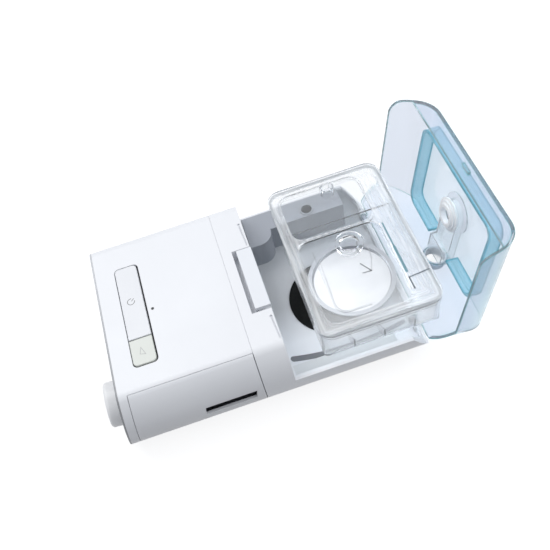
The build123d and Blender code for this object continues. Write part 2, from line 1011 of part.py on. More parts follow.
with BuildPart() as impeller:
    blade_low = impeller_bottom
    blade_high = impeller_bottom + impeller_height - impeller_plate
    with BuildSketch(blower_plane.offset(blade_high)):
        Circle(impeller_radius)
    extrude(amount=impeller_plate)
    with BuildSketch(blower_plane.offset(blade_low + impeller_height / 3)):
        Circle(2.5 * motor_shaft)
    extrude(amount=impeller_height * 2 / 3)
    with BuildSketch(blower_plane.offset(blade_low)):
        with PolarLocations(0, blade_count):
            with BuildLine():
                outer = ThreePointArc(
                    (impeller_eye, 0),
                    ((impeller_eye + impeller_radius) / 2, blade_bow / 2),
                    (impeller_radius - blade_thickness, -blade_bow / 3),
                )
                offset(outer, amount=blade_thickness / 2)
            make_face()
    extrude(amount=blade_high - blade_low)
    with BuildSketch(blower_plane.offset(blade_low + impeller_height / 2)):
        Circle(motor_shaft)
    extrude(amount=blower_top + motor_height / 2 - blade_low - impeller_height / 2)
impeller.part.label = "impeller"
export_step(impeller.part, "parts/impeller.step")

with BuildPart() as blower_motor:
    add(cylinder_between(blower_plane, motor_radius, blower_top, blower_top + motor_height))
    fillet(blower_motor.faces().sort_by(Axis.Z)[-1].edges(), wall)
    add(
        cylinder_between(
            blower_plane,
            motor_shaft + shaft_clearance,
            blower_top,
            blower_top + motor_height / 2 + touch_gap,
        ),
        mode=Mode.SUBTRACT,
    )
blower_motor.part.label = "blower_motor"
export_step(blower_motor.part, "parts/blower_motor.step")

with BuildPart() as blower_mounts:
    for x, y in blower_mount_places:
        add(cylinder_between(upright(x, y), mount_radius, chassis_floor, blower_bottom))
blower_mounts.part.label = "blower_mounts"
export_step(blower_mounts.part, "parts/blower_mounts.step")

with BuildPart() as blower_seal:
    add(
        box_between(
            (channel_end, unit_rear - rear_panel_thickness),
            (channel_near, channel_far),
            (channel_low, channel_high),
        )
    )
    with BuildSketch(Plane.YZ.offset(channel_end)):
        with Locations((duct_y, duct_z)):
            Circle(duct_radius - duct_wall)
    extrude(amount=duct_wall, mode=Mode.SUBTRACT)
blower_seal.part.label = "blower_seal"
export_step(blower_seal.part, "parts/blower_seal.step")

# Power socket in the far side
jack_face = Plane(origin=(jack_x, half_width, jack_z), x_dir=(-1, 0, 0), z_dir=(0, 1, 0))

with BuildPart() as power_socket:
    add(cylinder_between(jack_face, jack_radius - touch_gap, -jack_depth, -wall / 2))
    with BuildSketch(jack_face.offset(-3 * wall)):
        RectangleRounded(4 * wall + touch_gap, 4 * wall + touch_gap, touch_gap)
    extrude(amount=-jack_depth)
    with BuildSketch(jack_face):
        Circle(jack_radius - wall / 2)
        Circle(jack_pin, mode=Mode.SUBTRACT)
    extrude(amount=-jack_depth, mode=Mode.SUBTRACT)
power_socket.part.label = "power_socket"
export_step(power_socket.part, "parts/power_socket.step")

# Feet and screws under both halves
def screw(x, y):
    """Screw driven upwards from its recess in the underside."""
    seat = foot_height + screw_recess
    with BuildPart() as bolt:
        add(cylinder_between(upright(x, y), screw_head, seat - screw_head_height, seat))
        add(cylinder_between(upright(x, y), screw_radius, seat, split_height + 3 * post_radius))
        with BuildSketch(Plane.XY.offset(seat - screw_head_height)):
            with Locations((x, y)):
                RegularPolygon(screw_radius / 2, 6)
        extrude(amount=screw_head_height / 2, mode=Mode.SUBTRACT)
    return bolt.part


with BuildPart() as unit_feet:
    for x in unit_foot_places:
        add(foot_strip(x))
unit_feet.part.label = "unit_feet"
export_step(unit_feet.part, "parts/unit_feet.step")

with BuildPart() as unit_screws:
    for x, y in screw_places:
        add(screw(x, y))
unit_screws.part.label = "unit_screws"
export_step(unit_screws.part, "parts/unit_screws.step")

# White shell of the humidifier: the deck with the latch, and the tub walls
deck_inside = tub_front - wall
pocket_floor = height - recess_depth
pin_z = height - latch_pin_drop
pin_plane = Plane(origin=(latch_pin_x, 0, pin_z), x_dir=(1, 0, 0), z_dir=(0, 1, 0))
hinge_plane = Plane(origin=(hinge_x, 0, hinge_z), x_dir=(1, 0, 0), z_dir=(0, 1, 0))
ear_inner = lug_inner - hinge_side_gap - ear_width
ear_outer = lug_outer + hinge_side_gap + ear_width
catch_slots = [((13.4, 57.0), (14.7, 31.0)), ((13.8, -50.7), (15.2, -73.6))]

with BuildPart() as humidifier_shell:
    add(rear_block(base_front, rear_x))
    split(bisect_by=Plane.XY.offset(split_height), keep=Keep.TOP)
    add(hull_block(base_front + wall, deck_inside, wall), mode=Mode.SUBTRACT)
    add(rear_block(tub_front, rear_x - wall, wall), mode=Mode.SUBTRACT)
    add(above_rim(0, tub_front), mode=Mode.SUBTRACT)
    add(
        box_between(
            (recess_front - wall, deck_inside),
            (recess_near - wall, recess_far + wall),
            (pocket_floor - wall, top_inside),
        )
    )
    add(
        box_between(
            (recess_front, tub_front + wall),
            (recess_near, recess_far),
            (pocket_floor, height),
        ),
        mode=Mode.SUBTRACT,
    )
    add(
        cylinder_between(pin_plane, latch_pin, recess_near - wall, recess_far + wall),
        mode=Mode.SUBTRACT,
    )
    with BuildSketch(Plane.XY.offset(height)):
        for far_end, near_end in catch_slots:
            with BuildLine():
                groove = Line(far_end, near_end)
                offset(groove, amount=slot_width / 2)
            make_face()
            with Locations(far_end):
                Circle(slot_width)
    extrude(amount=-slot_depth, mode=Mode.SUBTRACT)
    with BuildSketch(Plane.YZ.offset(base_front)):
        with Locations((duct_y, duct_z)):
            Circle(duct_radius + touch_gap)
    extrude(amount=deck_length, mode=Mode.SUBTRACT)
    for side in (-1, 1):
        centre = side * (lug_inner + lug_outer) / 2
        half_slot = (lug_outer - lug_inner) / 2 + hinge_side_gap
        add(
            box_between(
                (rear_x - 3 * wall, rear_x + wall),
                (centre - half_slot - ear_width, centre + half_slot + ear_width),
                (hinge_z - hinge_radius - fit_gap, height),
            ),
            mode=Mode.SUBTRACT,
        )
        for start in (centre - half_slot - ear_width, centre + half_slot):
            add(cylinder_between(hinge_plane, hinge_radius, start, start + ear_width))
            add(
                box_between(
                    (hinge_x - hinge_radius, hinge_x + hinge_radius),
                    (start, start + ear_width),
                    (split_height, hinge_z),
                )
            )
        add(
            cylinder_between(
                hinge_plane,
                hinge_pin,
                centre - half_slot - ear_width,
                centre + half_slot + ear_width,
            ),
            mode=Mode.SUBTRACT,
        )
    for x, y in tub_screw_places:
        add(cylinder_between(upright(x, y), post_radius, split_height, pocket_floor - wall))
        add(
            cylinder_between(
                upright(x, y),
                screw_radius + touch_gap,
                split_height,
                split_height + 4 * post_radius,
            ),
            mode=Mode.SUBTRACT,
        )
humidifier_shell.part.label = "humidifier_shell"
export_step(humidifier_shell.part, "parts/humidifier_shell.step")

# Bottom pan under the tub
tub_foot_places = [base_front + tub_foot_inset, rear_x - tub_foot_rear_inset]

with BuildPart() as humidifier_bottom:
    add(rear_block(base_front, rear_x))
    split(bisect_by=Plane.XY.offset(split_height), keep=Keep.BOTTOM)
    add(rear_block(base_front + wall, rear_x - wall, wall), mode=Mode.SUBTRACT)
    for x, y in tub_screw_places:
        add(cylinder_between(upright(x, y), post_radius, chassis_floor, split_height))
    for x, y in tub_screw_places:
        add(
            cylinder_between(upright(x, y), screw_head + touch_gap, 0, screw_recess + foot_height),
            mode=Mode.SUBTRACT,
        )
        add(
            cylinder_between(upright(x, y), screw_radius + touch_gap, 0, split_height),
            mode=Mode.SUBTRACT,
        )
    for x in tub_foot_places:
        add(foot_strip(x), mode=Mode.SUBTRACT)
humidifier_bottom.part.label = "humidifier_bottom"
export_step(humidifier_bottom.part, "parts/humidifier_bottom.step")

with BuildPart() as humidifier_feet:
    for x in tub_foot_places:
        add(foot_strip(x))
humidifier_feet.part.label = "humidifier_feet"
export_step(humidifier_feet.part, "parts/humidifier_feet.step")

with BuildPart() as humidifier_screws:
    for x, y in tub_screw_places:
        add(screw(x, y))
humidifier_screws.part.label = "humidifier_screws"
export_step(humidifier_screws.part, "parts/humidifier_screws.step")

# Grey liner that the tank stands in
liner_inset = wall + touch_gap
liner_front = tub_front + touch_gap
liner_rear = rear_x - wall - touch_gap
tub_inset = liner_inset + tub_wall
floor_top = tub_floor + tub_floor_thickness
heater_plane = upright(heater_x, heater_y)

with BuildPart() as humidifier_tub:
    add(rear_block(liner_front, liner_rear, liner_inset))
    split(bisect_by=Plane.XY.offset(tub_floor), keep=Keep.TOP)
    add(above_rim(-lid_gap, tub_front), mode=Mode.SUBTRACT)
    add(
        box_between(
            (liner_rear - 2 * tub_wall, rear_x),
            (-half_width, half_width),
            (rear_rim, height),
        ),
        mode=Mode.SUBTRACT,
    )
    with BuildPart(mode=Mode.PRIVATE) as tub_space:
        add(rear_block(liner_front + tub_wall, liner_rear - tub_wall, tub_inset))
        split(bisect_by=Plane.XY.offset(floor_top), keep=Keep.TOP)
    add(tub_space.part, mode=Mode.SUBTRACT)
    with BuildPart(mode=Mode.PRIVATE) as rail:
        add(rear_block(liner_front, liner_rear, tub_inset))
        split(bisect_by=Plane.XZ.offset(half_width - tub_inset - rail_width), keep=Keep.TOP)
        split(bisect_by=Plane.XY.offset(rail_top - rail_thickness), keep=Keep.TOP)
        split(bisect_by=Plane.XY.offset(rail_top), keep=Keep.BOTTOM)
        split(bisect_by=Plane.YZ.offset(slope_start), keep=Keep.BOTTOM)
    add(rail.part)
    with BuildSketch(Plane.XY.offset(tub_floor)):
        with Locations((heater_x, heater_y)):
            Circle(heater_plug + touch_gap)
    extrude(amount=tub_floor_thickness, mode=Mode.SUBTRACT)
    with BuildSketch(Plane.YZ.offset(liner_front)):
        with Locations((duct_y, duct_z)):
            Circle(duct_radius + touch_gap)
    extrude(amount=tub_wall, mode=Mode.SUBTRACT)
    for side in (-1, 1):
        centre = side * (lug_inner + lug_outer) / 2
        half_slot = (lug_outer - lug_inner) / 2 + hinge_side_gap
        add(
            box_between(
                (hinge_x - hinge_radius - fit_gap, rear_x),
                (centre - half_slot - ear_width, centre + half_slot + ear_width),
                (tub_floor, height),
            ),
            mode=Mode.SUBTRACT,
        )
humidifier_tub.part.label = "humidifier_tub"
export_step(humidifier_tub.part, "parts/humidifier_tub.step")

with BuildPart() as heater_plate:
    add(cylinder_between(heater_plane, heater_radius, floor_top, floor_top + heater_proud))
    fillet(heater_plate.faces().sort_by(Axis.Z)[-1].edges(), heater_proud / 4)
    add(
        cylinder_between(
            heater_plane,
            heater_plug,
            floor_top + heater_proud - heater_depth,
            floor_top,
        )
    )
heater_plate.part.label = "heater_plate"
export_step(heater_plate.part, "parts/heater_plate.step")

with BuildPart() as heater_insulator:
    add(
        cylinder_between(
            heater_plane,
            heater_plug,
            floor_top + heater_proud - heater_depth - insulator_depth,
            floor_top + heater_proud - heater_depth,
            heater_plug / 3,
        )
    )
    for angle in (45, 135, 225, 315):
        add(
            cylinder_between(
                upright(
                    heater_x + heater_plug * 0.8 * cos(radians(angle)),
                    heater_y + heater_plug * 0.8 * sin(radians(angle)),
                ),
                standoff_radius,
                chassis_floor,
                floor_top + heater_proud - heater_depth - insulator_depth,
            )
        )
heater_insulator.part.label = "heater_insulator"
export_step(heater_insulator.part, "parts/heater_insulator.step")


# Dry box in the far bay: the air settles here before it enters the tank
def dry_space(inset, low, high):
    """Box and duct along the far wall, following the curve of the tub."""
    front = liner_front + tub_wall + touch_gap + inset
    with BuildPart() as space:
        add(rear_block(liner_front, liner_rear, tub_inset + touch_gap + inset))
        with BuildSketch():
            with BuildLine():
                Polyline(
                    (front, dry_box_near + inset),
                    (dry_box_rear - inset, dry_box_near + inset),
                    (dry_box_rear - inset, dry_duct_near + inset),
                    (dry_duct_rear - inset, dry_duct_near + inset),
                    (dry_duct_rear - inset, half_width),
                    (front, half_width),
                    close=True,
                )
            make_face()
            fillet(vertices().sort_by(Axis.Y)[0:2].sort_by(Axis.X)[-1], dry_box_corner - inset)
        extrude(amount=height, mode=Mode.INTERSECT)
        split(bisect_by=Plane.XY.offset(low), keep=Keep.TOP)
        split(bisect_by=Plane.XY.offset(high), keep=Keep.BOTTOM)
    return space.part


with BuildPart() as dry_box:
    add(dry_space(0, floor_top, dry_box_top))
    add(dry_space(dry_box_wall, floor_top + dry_box_wall, dry_box_top), mode=Mode.SUBTRACT)
    with BuildSketch(Plane.YZ.offset(liner_front)):
        with Locations((duct_y, duct_z)):
            Circle(duct_radius + touch_gap)
    extrude(amount=2 * dry_box_wall + tub_wall, mode=Mode.SUBTRACT)
dry_box.part.label = "dry_box"
export_step(dry_box.part, "parts/dry_box.step")

with BuildPart() as dry_box_cover:
    add(dry_space(0, dry_box_top, dry_box_top + dry_cover_thickness))
    with BuildSketch(Plane.XY.offset(dry_box_top)):
        with Locations((inlet_x, inlet_y)):
            Circle(inlet_radius - duct_wall)
    extrude(amount=dry_cover_thickness, mode=Mode.SUBTRACT)
dry_box_cover.part.label = "dry_box_cover"
export_step(dry_box_cover.part, "parts/dry_box_cover.step")

with BuildPart() as dry_box_seal:
    add(
        cylinder_between(
            upright(inlet_x, inlet_y),
            inlet_radius,
            dry_box_top + dry_cover_thickness,
            dry_box_top + dry_cover_thickness + seal_height,
            inlet_radius - duct_wall,
        )
    )
dry_box_seal.part.label = "dry_box_seal"
export_step(dry_box_seal.part, "parts/dry_box_seal.step")

# Tube that takes the air through the deck, from the rear panel to the dry box
tube_plane = Plane(origin=(0, duct_y, duct_z), x_dir=(0, 1, 0), z_dir=(1, 0, 0))

with BuildPart() as inlet_tube:
    add(
        cylinder_between(
            tube_plane,
            duct_radius,
            unit_rear - rear_panel_thickness,
            liner_front + tub_wall + dry_box_wall,
            duct_radius - duct_wall,
        )
    )
inlet_tube.part.label = "inlet_tube"
export_step(inlet_tube.part, "parts/inlet_tube.step")

# Latch flap with its two lugs on the pin
with BuildPart() as lid_latch:
    add(
        box_between(
            (flap_front, flap_rear),
            (flap_near, flap_far),
            (height - flap_thickness, height),
        )
    )
    fillet(lid_latch.edges().filter_by(Axis.Z), fit_gap)
    lug_depth = (flap_far - flap_near) / 6
    for start in (flap_near, flap_far - lug_depth):
        add(cylinder_between(pin_plane, latch_lug, start, start + lug_depth))
        add(
            box_between(
                (latch_pin_x - latch_lug, latch_pin_x + latch_lug),
                (start, start + lug_depth),
                (pin_z, height - flap_thickness),
            )
        )
    add(
        cylinder_between(pin_plane, latch_pin + latch_clearance, flap_near, flap_far),
        mode=Mode.SUBTRACT,
    )
lid_latch.part.label = "lid_latch"
export_step(lid_latch.part, "parts/lid_latch.step")

with BuildPart() as lid_latch_pin:
    add(cylinder_between(pin_plane, latch_pin, recess_near - wall, recess_far + wall))
lid_latch_pin.part.label = "lid_latch_pin"
export_step(lid_latch_pin.part, "parts/lid_latch_pin.step")

# Lid of the humidifier, drawn shut
lid_rear_inside = rear_x - wall
port_plane = Plane(origin=(0, 0, port_height), x_dir=(0, 1, 0), z_dir=(1, 0, 0))

with BuildPart() as lid_shut:
    add(rear_block(lid_front, rear_x, 0, lid_crease))
    with BuildPart(mode=Mode.PRIVATE) as lid_space:
        add(rear_block(lid_front + wall, lid_rear_inside, wall, lid_crease - wall))
        with BuildPart(mode=Mode.PRIVATE) as mouth:
            add(hull_block(lid_front - wall, lid_front + 2 * wall, wall, lid_crease - wall))
            split(bisect_by=Plane.XY.offset(height - lid_lip), keep=Keep.BOTTOM)
        add(mouth.part)
    add(lid_space.part, mode=Mode.SUBTRACT)
    add(above_rim(lid_gap, lid_front, lid_skirt_corner), mode=Mode.INTERSECT)
    add(
        box_between(
            (lid_front - catch_reach, lid_front + wall),
            (catch_near, catch_far),
            (catch_top - catch_thickness, catch_top),
        )
    )
    add(
        cylinder_between(port_plane, port_radius + touch_gap, lid_rear_inside, rear_x),
        mode=Mode.SUBTRACT,
    )
    for side in (-1, 1):
        centre = side * (lug_inner + lug_outer) / 2
        half_lug = (lug_outer - lug_inner) / 2
        add(cylinder_between(hinge_plane, hinge_radius, centre - half_lug, centre + half_lug))
        add(
            box_between(
                (lid_rear_inside, rear_x),
                (centre - half_lug, centre + half_lug),
                (hinge_z, rear_rim + 2 * wall),
            )
        )
        add(
            cylinder_between(
                hinge_plane,
                hinge_pin + hinge_clearance,
                centre - half_lug,
                centre + half_lug,
            ),
            mode=Mode.SUBTRACT,
        )

with BuildPart() as lid_hinge_pins:
    for start in (ear_inner, -ear_outer):
        add(cylinder_between(hinge_plane, hinge_pin, start, start + ear_outer - ear_inner))
lid_hinge_pins.part.label = "lid_hinge_pins"
export_step(lid_hinge_pins.part, "parts/lid_hinge_pins.step")

with BuildPart() as lid_frame_shut:
    add(
        box_between(
            (ring_front, ring_rear),
            (-ring_half, ring_half),
            (ring_bottom, top_inside),
            ring_corner,
        )
    )
    add(
        box_between(
            (ring_front + ring_wall, ring_rear - ring_wall),
            (-ring_half + ring_wall, ring_half - ring_wall),
            (ring_bottom, top_inside),
            ring_corner - ring_wall,
        ),
        mode=Mode.SUBTRACT,
    )
    add(
        box_between(
            (plenum_front - ring_wall, ring_rear),
            (-lid_duct_half - 2 * ring_wall, lid_duct_half + 2 * ring_wall),
            (ring_bottom, top_inside),
        ),
        mode=Mode.SUBTRACT,
    )

with BuildPart() as lid_duct_shut:
    add(
        box_between(
            (outlet_x, lid_rear_inside),
            (-lid_duct_half, lid_duct_half),
            (lid_duct_bottom, top_inside),
        )
    )
    add(
        cylinder_between(
            upright(outlet_x, 0),
            lid_duct_half,
            lid_duct_bottom,
            top_inside,
        )
    )
    add(
        cylinder_between(
            upright(outlet_x, 0), duct_disc_radius, top_inside - duct_wall, top_inside
        )
    )
    add(
        box_between(
            (plenum_front, lid_rear_inside),
            (-lid_duct_half, lid_duct_half),
            (plenum_bottom, top_inside),
        )
    )
    add(
        box_between(
            (outlet_x, lid_rear_inside),
            (-lid_duct_half + duct_wall, lid_duct_half - duct_wall),
            (lid_duct_bottom + duct_wall, top_inside),
        ),
        mode=Mode.SUBTRACT,
    )
    add(
        cylinder_between(
            upright(outlet_x, 0),
            lid_duct_half - duct_wall,
            lid_duct_bottom + duct_wall,
            top_inside,
        ),
        mode=Mode.SUBTRACT,
    )
    add(
        box_between(
            (plenum_front + duct_wall, lid_rear_inside),
            (-lid_duct_half + duct_wall, lid_duct_half - duct_wall),
            (plenum_bottom + duct_wall, top_inside),
        ),
        mode=Mode.SUBTRACT,
    )
    add(
        cylinder_between(
            upright(outlet_x, 0), lid_seal_bore, lid_duct_bottom, lid_duct_bottom + duct_wall
        ),
        mode=Mode.SUBTRACT,
    )

with BuildPart() as outlet_port_shut:
    add(cylinder_between(port_plane, port_radius, lid_rear_inside, rear_x + port_proud, port_bore))
    add(cylinder_between(port_plane, port_collar, rear_x, rear_x + port_collar_depth, port_bore))

seal_step = (lid_duct_bottom - lid_seal_face) / 3

with BuildPart() as lid_seal_shut:
    for step in range(3):
        add(
            cylinder_between(
                upright(outlet_x, 0),
                lid_seal_radius + step * lid_seal_widening,
                lid_seal_face + step * seal_step,
                lid_duct_bottom,
                lid_seal_bore,
            )
        )
    fillet(lid_seal_shut.faces().sort_by(Axis.Z)[0].outer_wire().edges(), seal_step / 3)

for shut, name in (
    (lid_shut, "lid"),
    (lid_frame_shut, "lid_frame"),
    (lid_duct_shut, "lid_duct"),
    (outlet_port_shut, "outlet_port"),
    (lid_seal_shut, "lid_seal"),
):
    opened = shut.part.rotate(lid_axis, lid_open)
    opened.label = name
    export_step(opened, f"parts/{name}.step")


# Water tank, drawn in its tub
def tank_block(inset, top):
    """Outer or inner form of the tank: rounded edges and a shallow far side."""
    with BuildPart() as block:
        with BuildSketch(Plane.YZ.offset(tank_front + inset)):
            with BuildLine():
                Polyline(
                    (-tank_half + inset, top),
                    (-tank_half + inset, tank_bottom + inset),
                    (tank_step_y - inset, tank_bottom + inset),
                    (tank_step_y - inset, tank_step_z + inset),
                    (tank_half - inset, tank_step_z + inset),
                    (tank_half - inset, top),
                    close=True,
                )
            make_face()
            low_corners = vertices().sort_by(Axis.Y)[0:2].sort_by(Axis.X)
            fillet(low_corners[0], tank_side_radius - inset)
            fillet(vertices().sort_by(Axis.Y)[0:2].sort_by(Axis.X)[-1], tank_step_radius - inset)
        extrude(amount=tank_rear - tank_front - 2 * inset)
        add(
            box_between(
                (tank_front + inset, tank_rear - inset),
                (-tank_half + inset, tank_half - inset),
                (0, height),
                tank_corner - inset,
            ),
            mode=Mode.INTERSECT,
        )
        with BuildSketch(Plane.XZ):
            with BuildLine():
                Polyline(
                    (tank_front + inset, top),
                    (tank_front + inset, tank_bottom + inset),
                    (tank_rear - inset, tank_bottom + inset),
                    (tank_rear - inset, top),
                    close=True,
                )
            make_face()
            fillet(vertices().sort_by(Axis.Y)[0:2].sort_by(Axis.X)[0], tank_front_radius - inset)
            fillet(vertices().sort_by(Axis.Y)[0:2].sort_by(Axis.X)[-1], tank_rear_radius - inset)
        extrude(amount=half_width, both=True, mode=Mode.INTERSECT)
    return block.part


with BuildPart() as tank_in_tub:
    add(tank_block(0, tank_top))
    add(tank_block(tank_wall, tank_top), mode=Mode.SUBTRACT)
    add(
        box_between(
            (tank_front - tank_flange, tank_rear + tank_flange),
            (-tank_half - tank_flange, tank_half + tank_flange),
            (tank_top - tank_wall, tank_top),
            tank_corner + tank_flange,
        )
    )
    add(
        box_between(
            (tank_front + tank_wall, tank_rear - tank_wall),
            (-tank_half + tank_wall, tank_half - tank_wall),
            (tank_top - tank_wall, tank_top),
            tank_corner - tank_wall,
        ),
        mode=Mode.SUBTRACT,
    )
    add(
        cylinder_between(
            heater_plane,
            plate_radius + plate_thickness + gasket_thickness,
            tank_bottom - wall,
            tank_bottom + tank_wall,
        ),
        mode=Mode.SUBTRACT,
    )
    with BuildPart(mode=Mode.PRIVATE) as ribs:
        for rib_x in tank_ribs:
            with BuildSketch(Plane.YZ.offset(rib_x)):
                with BuildLine():
                    Polyline(
                        (-tank_half, tank_bottom),
                        (-tank_half, tank_bottom + tank_side_radius + tank_rib_rise),
                        (heater_y - plate_flange - tank_rib_plate_gap, tank_bottom),
                        close=True,
                    )
                make_face()
            extrude(amount=tank_rib_thickness)
        add(tank_block(tank_wall / 2, tank_top), mode=Mode.INTERSECT)
    add(ribs.part)
    add(cylinder_between(upright(inlet_x, inlet_y), inlet_radius, tank_step_z, tank_top - wall))
    add(
        cylinder_between(
            upright(inlet_x, inlet_y),
            inlet_radius - duct_wall,
            tank_step_z,
            tank_top - wall,
        ),
        mode=Mode.SUBTRACT,
    )

with BuildPart() as plate_in_tub:
    plate_low = tank_bottom - fit_gap
    flange_low = tank_bottom + tank_wall + gasket_thickness
    add(cylinder_between(heater_plane, plate_radius, plate_low, plate_low + plate_thickness))
    add(
        cylinder_between(
            heater_plane,
            plate_radius + plate_thickness,
            plate_low,
            flange_low + plate_thickness,
            plate_radius,
        )
    )
    add(
        cylinder_between(
            heater_plane,
            plate_flange,
            flange_low,
            flange_low + plate_thickness,
            plate_radius,
        )
    )

with BuildPart() as gasket_in_tub:
    add(
        cylinder_between(
            heater_plane,
            plate_flange,
            tank_bottom + tank_wall,
            flange_low,
            plate_radius + plate_thickness + touch_gap,
        )
    )

with BuildPart() as cover_gasket_in_tub:
    add(
        box_between(
            (tank_front, tank_rear),
            (-tank_half, tank_half),
            (tank_top, tank_top + cover_gasket),
            tank_corner,
        )
    )
    add(
        box_between(
            (tank_front + tank_wall, tank_rear - tank_wall),
            (-tank_half + tank_wall, tank_half - tank_wall),
            (tank_top, tank_top + cover_gasket),
            tank_corner - tank_wall,
        ),
        mode=Mode.SUBTRACT,
    )

dish_low = cover_top - cover_dish - cover_thickness

with BuildPart() as cover_in_tub:
    add(
        box_between(
            (tank_front - tank_flange, tank_rear + tank_flange),
            (-tank_half - tank_flange, tank_half + tank_flange),
            (tank_top + cover_gasket, cover_top),
            tank_corner + tank_flange,
        )
    )
    add(
        box_between(
            (tank_front + tank_wall, tank_rear - tank_wall),
            (-tank_half + tank_wall, tank_half - tank_wall),
            (tank_top + cover_gasket, cover_top - cover_thickness),
            tank_corner - tank_wall,
        ),
        mode=Mode.SUBTRACT,
    )
    for spread, low, mode in (
        (cover_thickness, dish_low, Mode.ADD),
        (0, dish_low + cover_thickness, Mode.SUBTRACT),
    ):
        for near, far in (
            (-tank_half + cover_border, cover_bar_y - cover_bar_width / 2),
            (cover_bar_y + cover_bar_width / 2, tank_half - cover_border),
        ):
            add(
                box_between(
                    (tank_front + cover_border - spread, tank_rear - cover_rear_border + spread),
                    (near - spread, far + spread),
                    (low, cover_top),
                    tank_corner,
                ),
                mode=mode,
            )
    with BuildSketch(Plane.XY.offset(dish_low + cover_thickness)):
        with BuildLine():
            FilletPolyline(
                (cover_ridge_x, cover_ridge_far),
                (cover_ridge_x, cover_ridge_y),
                (cover_ridge_rear, cover_ridge_y),
                radius=cover_ridge_bend,
            )
        trace(line_width=cover_ridge_width)
    extrude(amount=cover_ridge_height)
    for clip_x in cover_clip_xs:
        add(
            box_between(
                (clip_x - cover_clip_length / 2, clip_x + cover_clip_length / 2),
                (-tank_half, -tank_half + cover_clip_width),
                (cover_top, cover_top + cover_clip_height),
            )
        )
    add(
        cylinder_between(
            upright(outlet_x, 0),
            collar_radius,
            dish_low,
            cover_top + collar_height,
        )
    )
    add(
        cylinder_between(
            upright(outlet_x, 0),
            collar_bore,
            dish_low,
            cover_top + collar_height,
        ),
        mode=Mode.SUBTRACT,
    )

for docked, name in (
    (tank_in_tub, "water_tank"),
    (plate_in_tub, "tank_plate"),
    (gasket_in_tub, "tank_plate_gasket"),
    (cover_gasket_in_tub, "tank_cover_gasket"),
    (cover_in_tub, "tank_cover"),
):
    lifted = docked.part.moved(tank_lift)
    lifted.label = name
    export_step(lifted, f"parts/{name}.step")
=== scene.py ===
# %% [markdown]
# # A breathing therapy machine with its humidifier
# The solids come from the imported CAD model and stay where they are. This lesson dresses them: it
# sets the camera at the angle of the photograph, builds a pale studio, gives every solid a finish
# of its own, and adds a few thin pieces and marks. Everything is in metres, X to the lid hinge,
# Y to the far side, Z up.

# %% Load the solids
import math

import bmesh
import bpy
from mathutils import Matrix, Vector


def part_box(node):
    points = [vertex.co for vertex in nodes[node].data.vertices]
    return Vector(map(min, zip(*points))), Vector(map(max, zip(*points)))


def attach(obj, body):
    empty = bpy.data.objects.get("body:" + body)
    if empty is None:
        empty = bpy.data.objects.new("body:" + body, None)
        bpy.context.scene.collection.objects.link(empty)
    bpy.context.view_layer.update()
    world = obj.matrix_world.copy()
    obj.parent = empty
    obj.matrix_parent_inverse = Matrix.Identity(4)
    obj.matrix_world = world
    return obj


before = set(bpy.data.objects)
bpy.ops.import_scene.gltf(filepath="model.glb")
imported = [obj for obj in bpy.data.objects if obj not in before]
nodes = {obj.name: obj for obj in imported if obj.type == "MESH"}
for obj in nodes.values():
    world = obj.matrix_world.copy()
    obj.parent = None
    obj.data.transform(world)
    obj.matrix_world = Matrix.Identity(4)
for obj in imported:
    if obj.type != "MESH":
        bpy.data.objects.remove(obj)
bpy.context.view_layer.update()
scene = bpy.context.scene

# %% [markdown]
# ## Camera
# The photograph looks down on the machine from its near side. The place and turn of the camera were
# solved from the straight edges of the body, so they are plain numbers here. The lens is a normal
# one on a square picture, with no shift and no depth of field.

# %% Camera
SENSOR_WIDTH = 36.0
FOCAL_LENGTH = 47.43
NEAREST_SEEN = 0.01
CAMERA_PLACE = Vector((-0.0027, -0.3815, 0.6116))
CAMERA_RIGHT = Vector((0.9475, -0.2858, -0.1431))
CAMERA_UP = Vector((0.3158, 0.7676, 0.5578))
CAMERA_BACK = Vector((-0.0496, -0.5737, 0.8176))

camera_data = bpy.data.cameras.new("camera")
camera_data.sensor_width = SENSOR_WIDTH
camera_data.lens = FOCAL_LENGTH
camera_data.clip_start = NEAREST_SEEN
camera = bpy.data.objects.new("camera", camera_data)
scene.collection.objects.link(camera)
camera_turn = Matrix((CAMERA_RIGHT, CAMERA_UP, CAMERA_BACK)).transposed().to_4x4()
camera.matrix_world = Matrix.Translation(CAMERA_PLACE) @ camera_turn
scene.camera = camera
scene.view_settings.view_transform = "Standard"
print("camera at", tuple(round(c, 3) for c in camera.location))

# %% [markdown]
# ## Small helpers
# A material here is a few nodes joined by hand. These helpers make a fresh material, add a node
# with its settings, and join two sockets, so that each finish below stays short and readable. Those
# that work out a number or a colour give back the socket that carries it.


# %% Helpers for nodes
def new_material(name):
    """A material with one shader joined to its output."""
    material = bpy.data.materials.new(name)
    material.use_nodes = True
    return material, material.node_tree.nodes["Principled BSDF"]


def add_node(material, kind, **settings):
    """A node of that kind, with properties or socket values by name."""
    node = material.node_tree.nodes.new(kind)
    for key, value in settings.items():
        if hasattr(node, key):
            setattr(node, key, value)
        else:
            node.inputs[key.replace("_", " ")].default_value = value
    return node


def join(material, source, target):
    """Join an output socket to an input socket."""
    material.node_tree.links.new(source, target)


def set_terms(material, node, terms):
    """Fill a node's inputs in order, each from a socket or with a constant."""
    for term, target in zip(terms, node.inputs):
        if isinstance(term, bpy.types.NodeSocket):
            join(material, term, target)
        else:
            target.default_value = term


def number_math(material, operation, *terms):
    """Result of an operation on numbers."""
    node = add_node(material, "ShaderNodeMath", operation=operation)
    set_terms(material, node, terms)
    return node.outputs["Value"]


def vector_math(material, operation, *terms):
    """Result of an operation on vectors: a number for a length or a dot product."""
    node = add_node(material, "ShaderNodeVectorMath", operation=operation)
    set_terms(material, node, terms)
    return node.outputs["Value" if operation in ("LENGTH", "DOT_PRODUCT") else "Vector"]


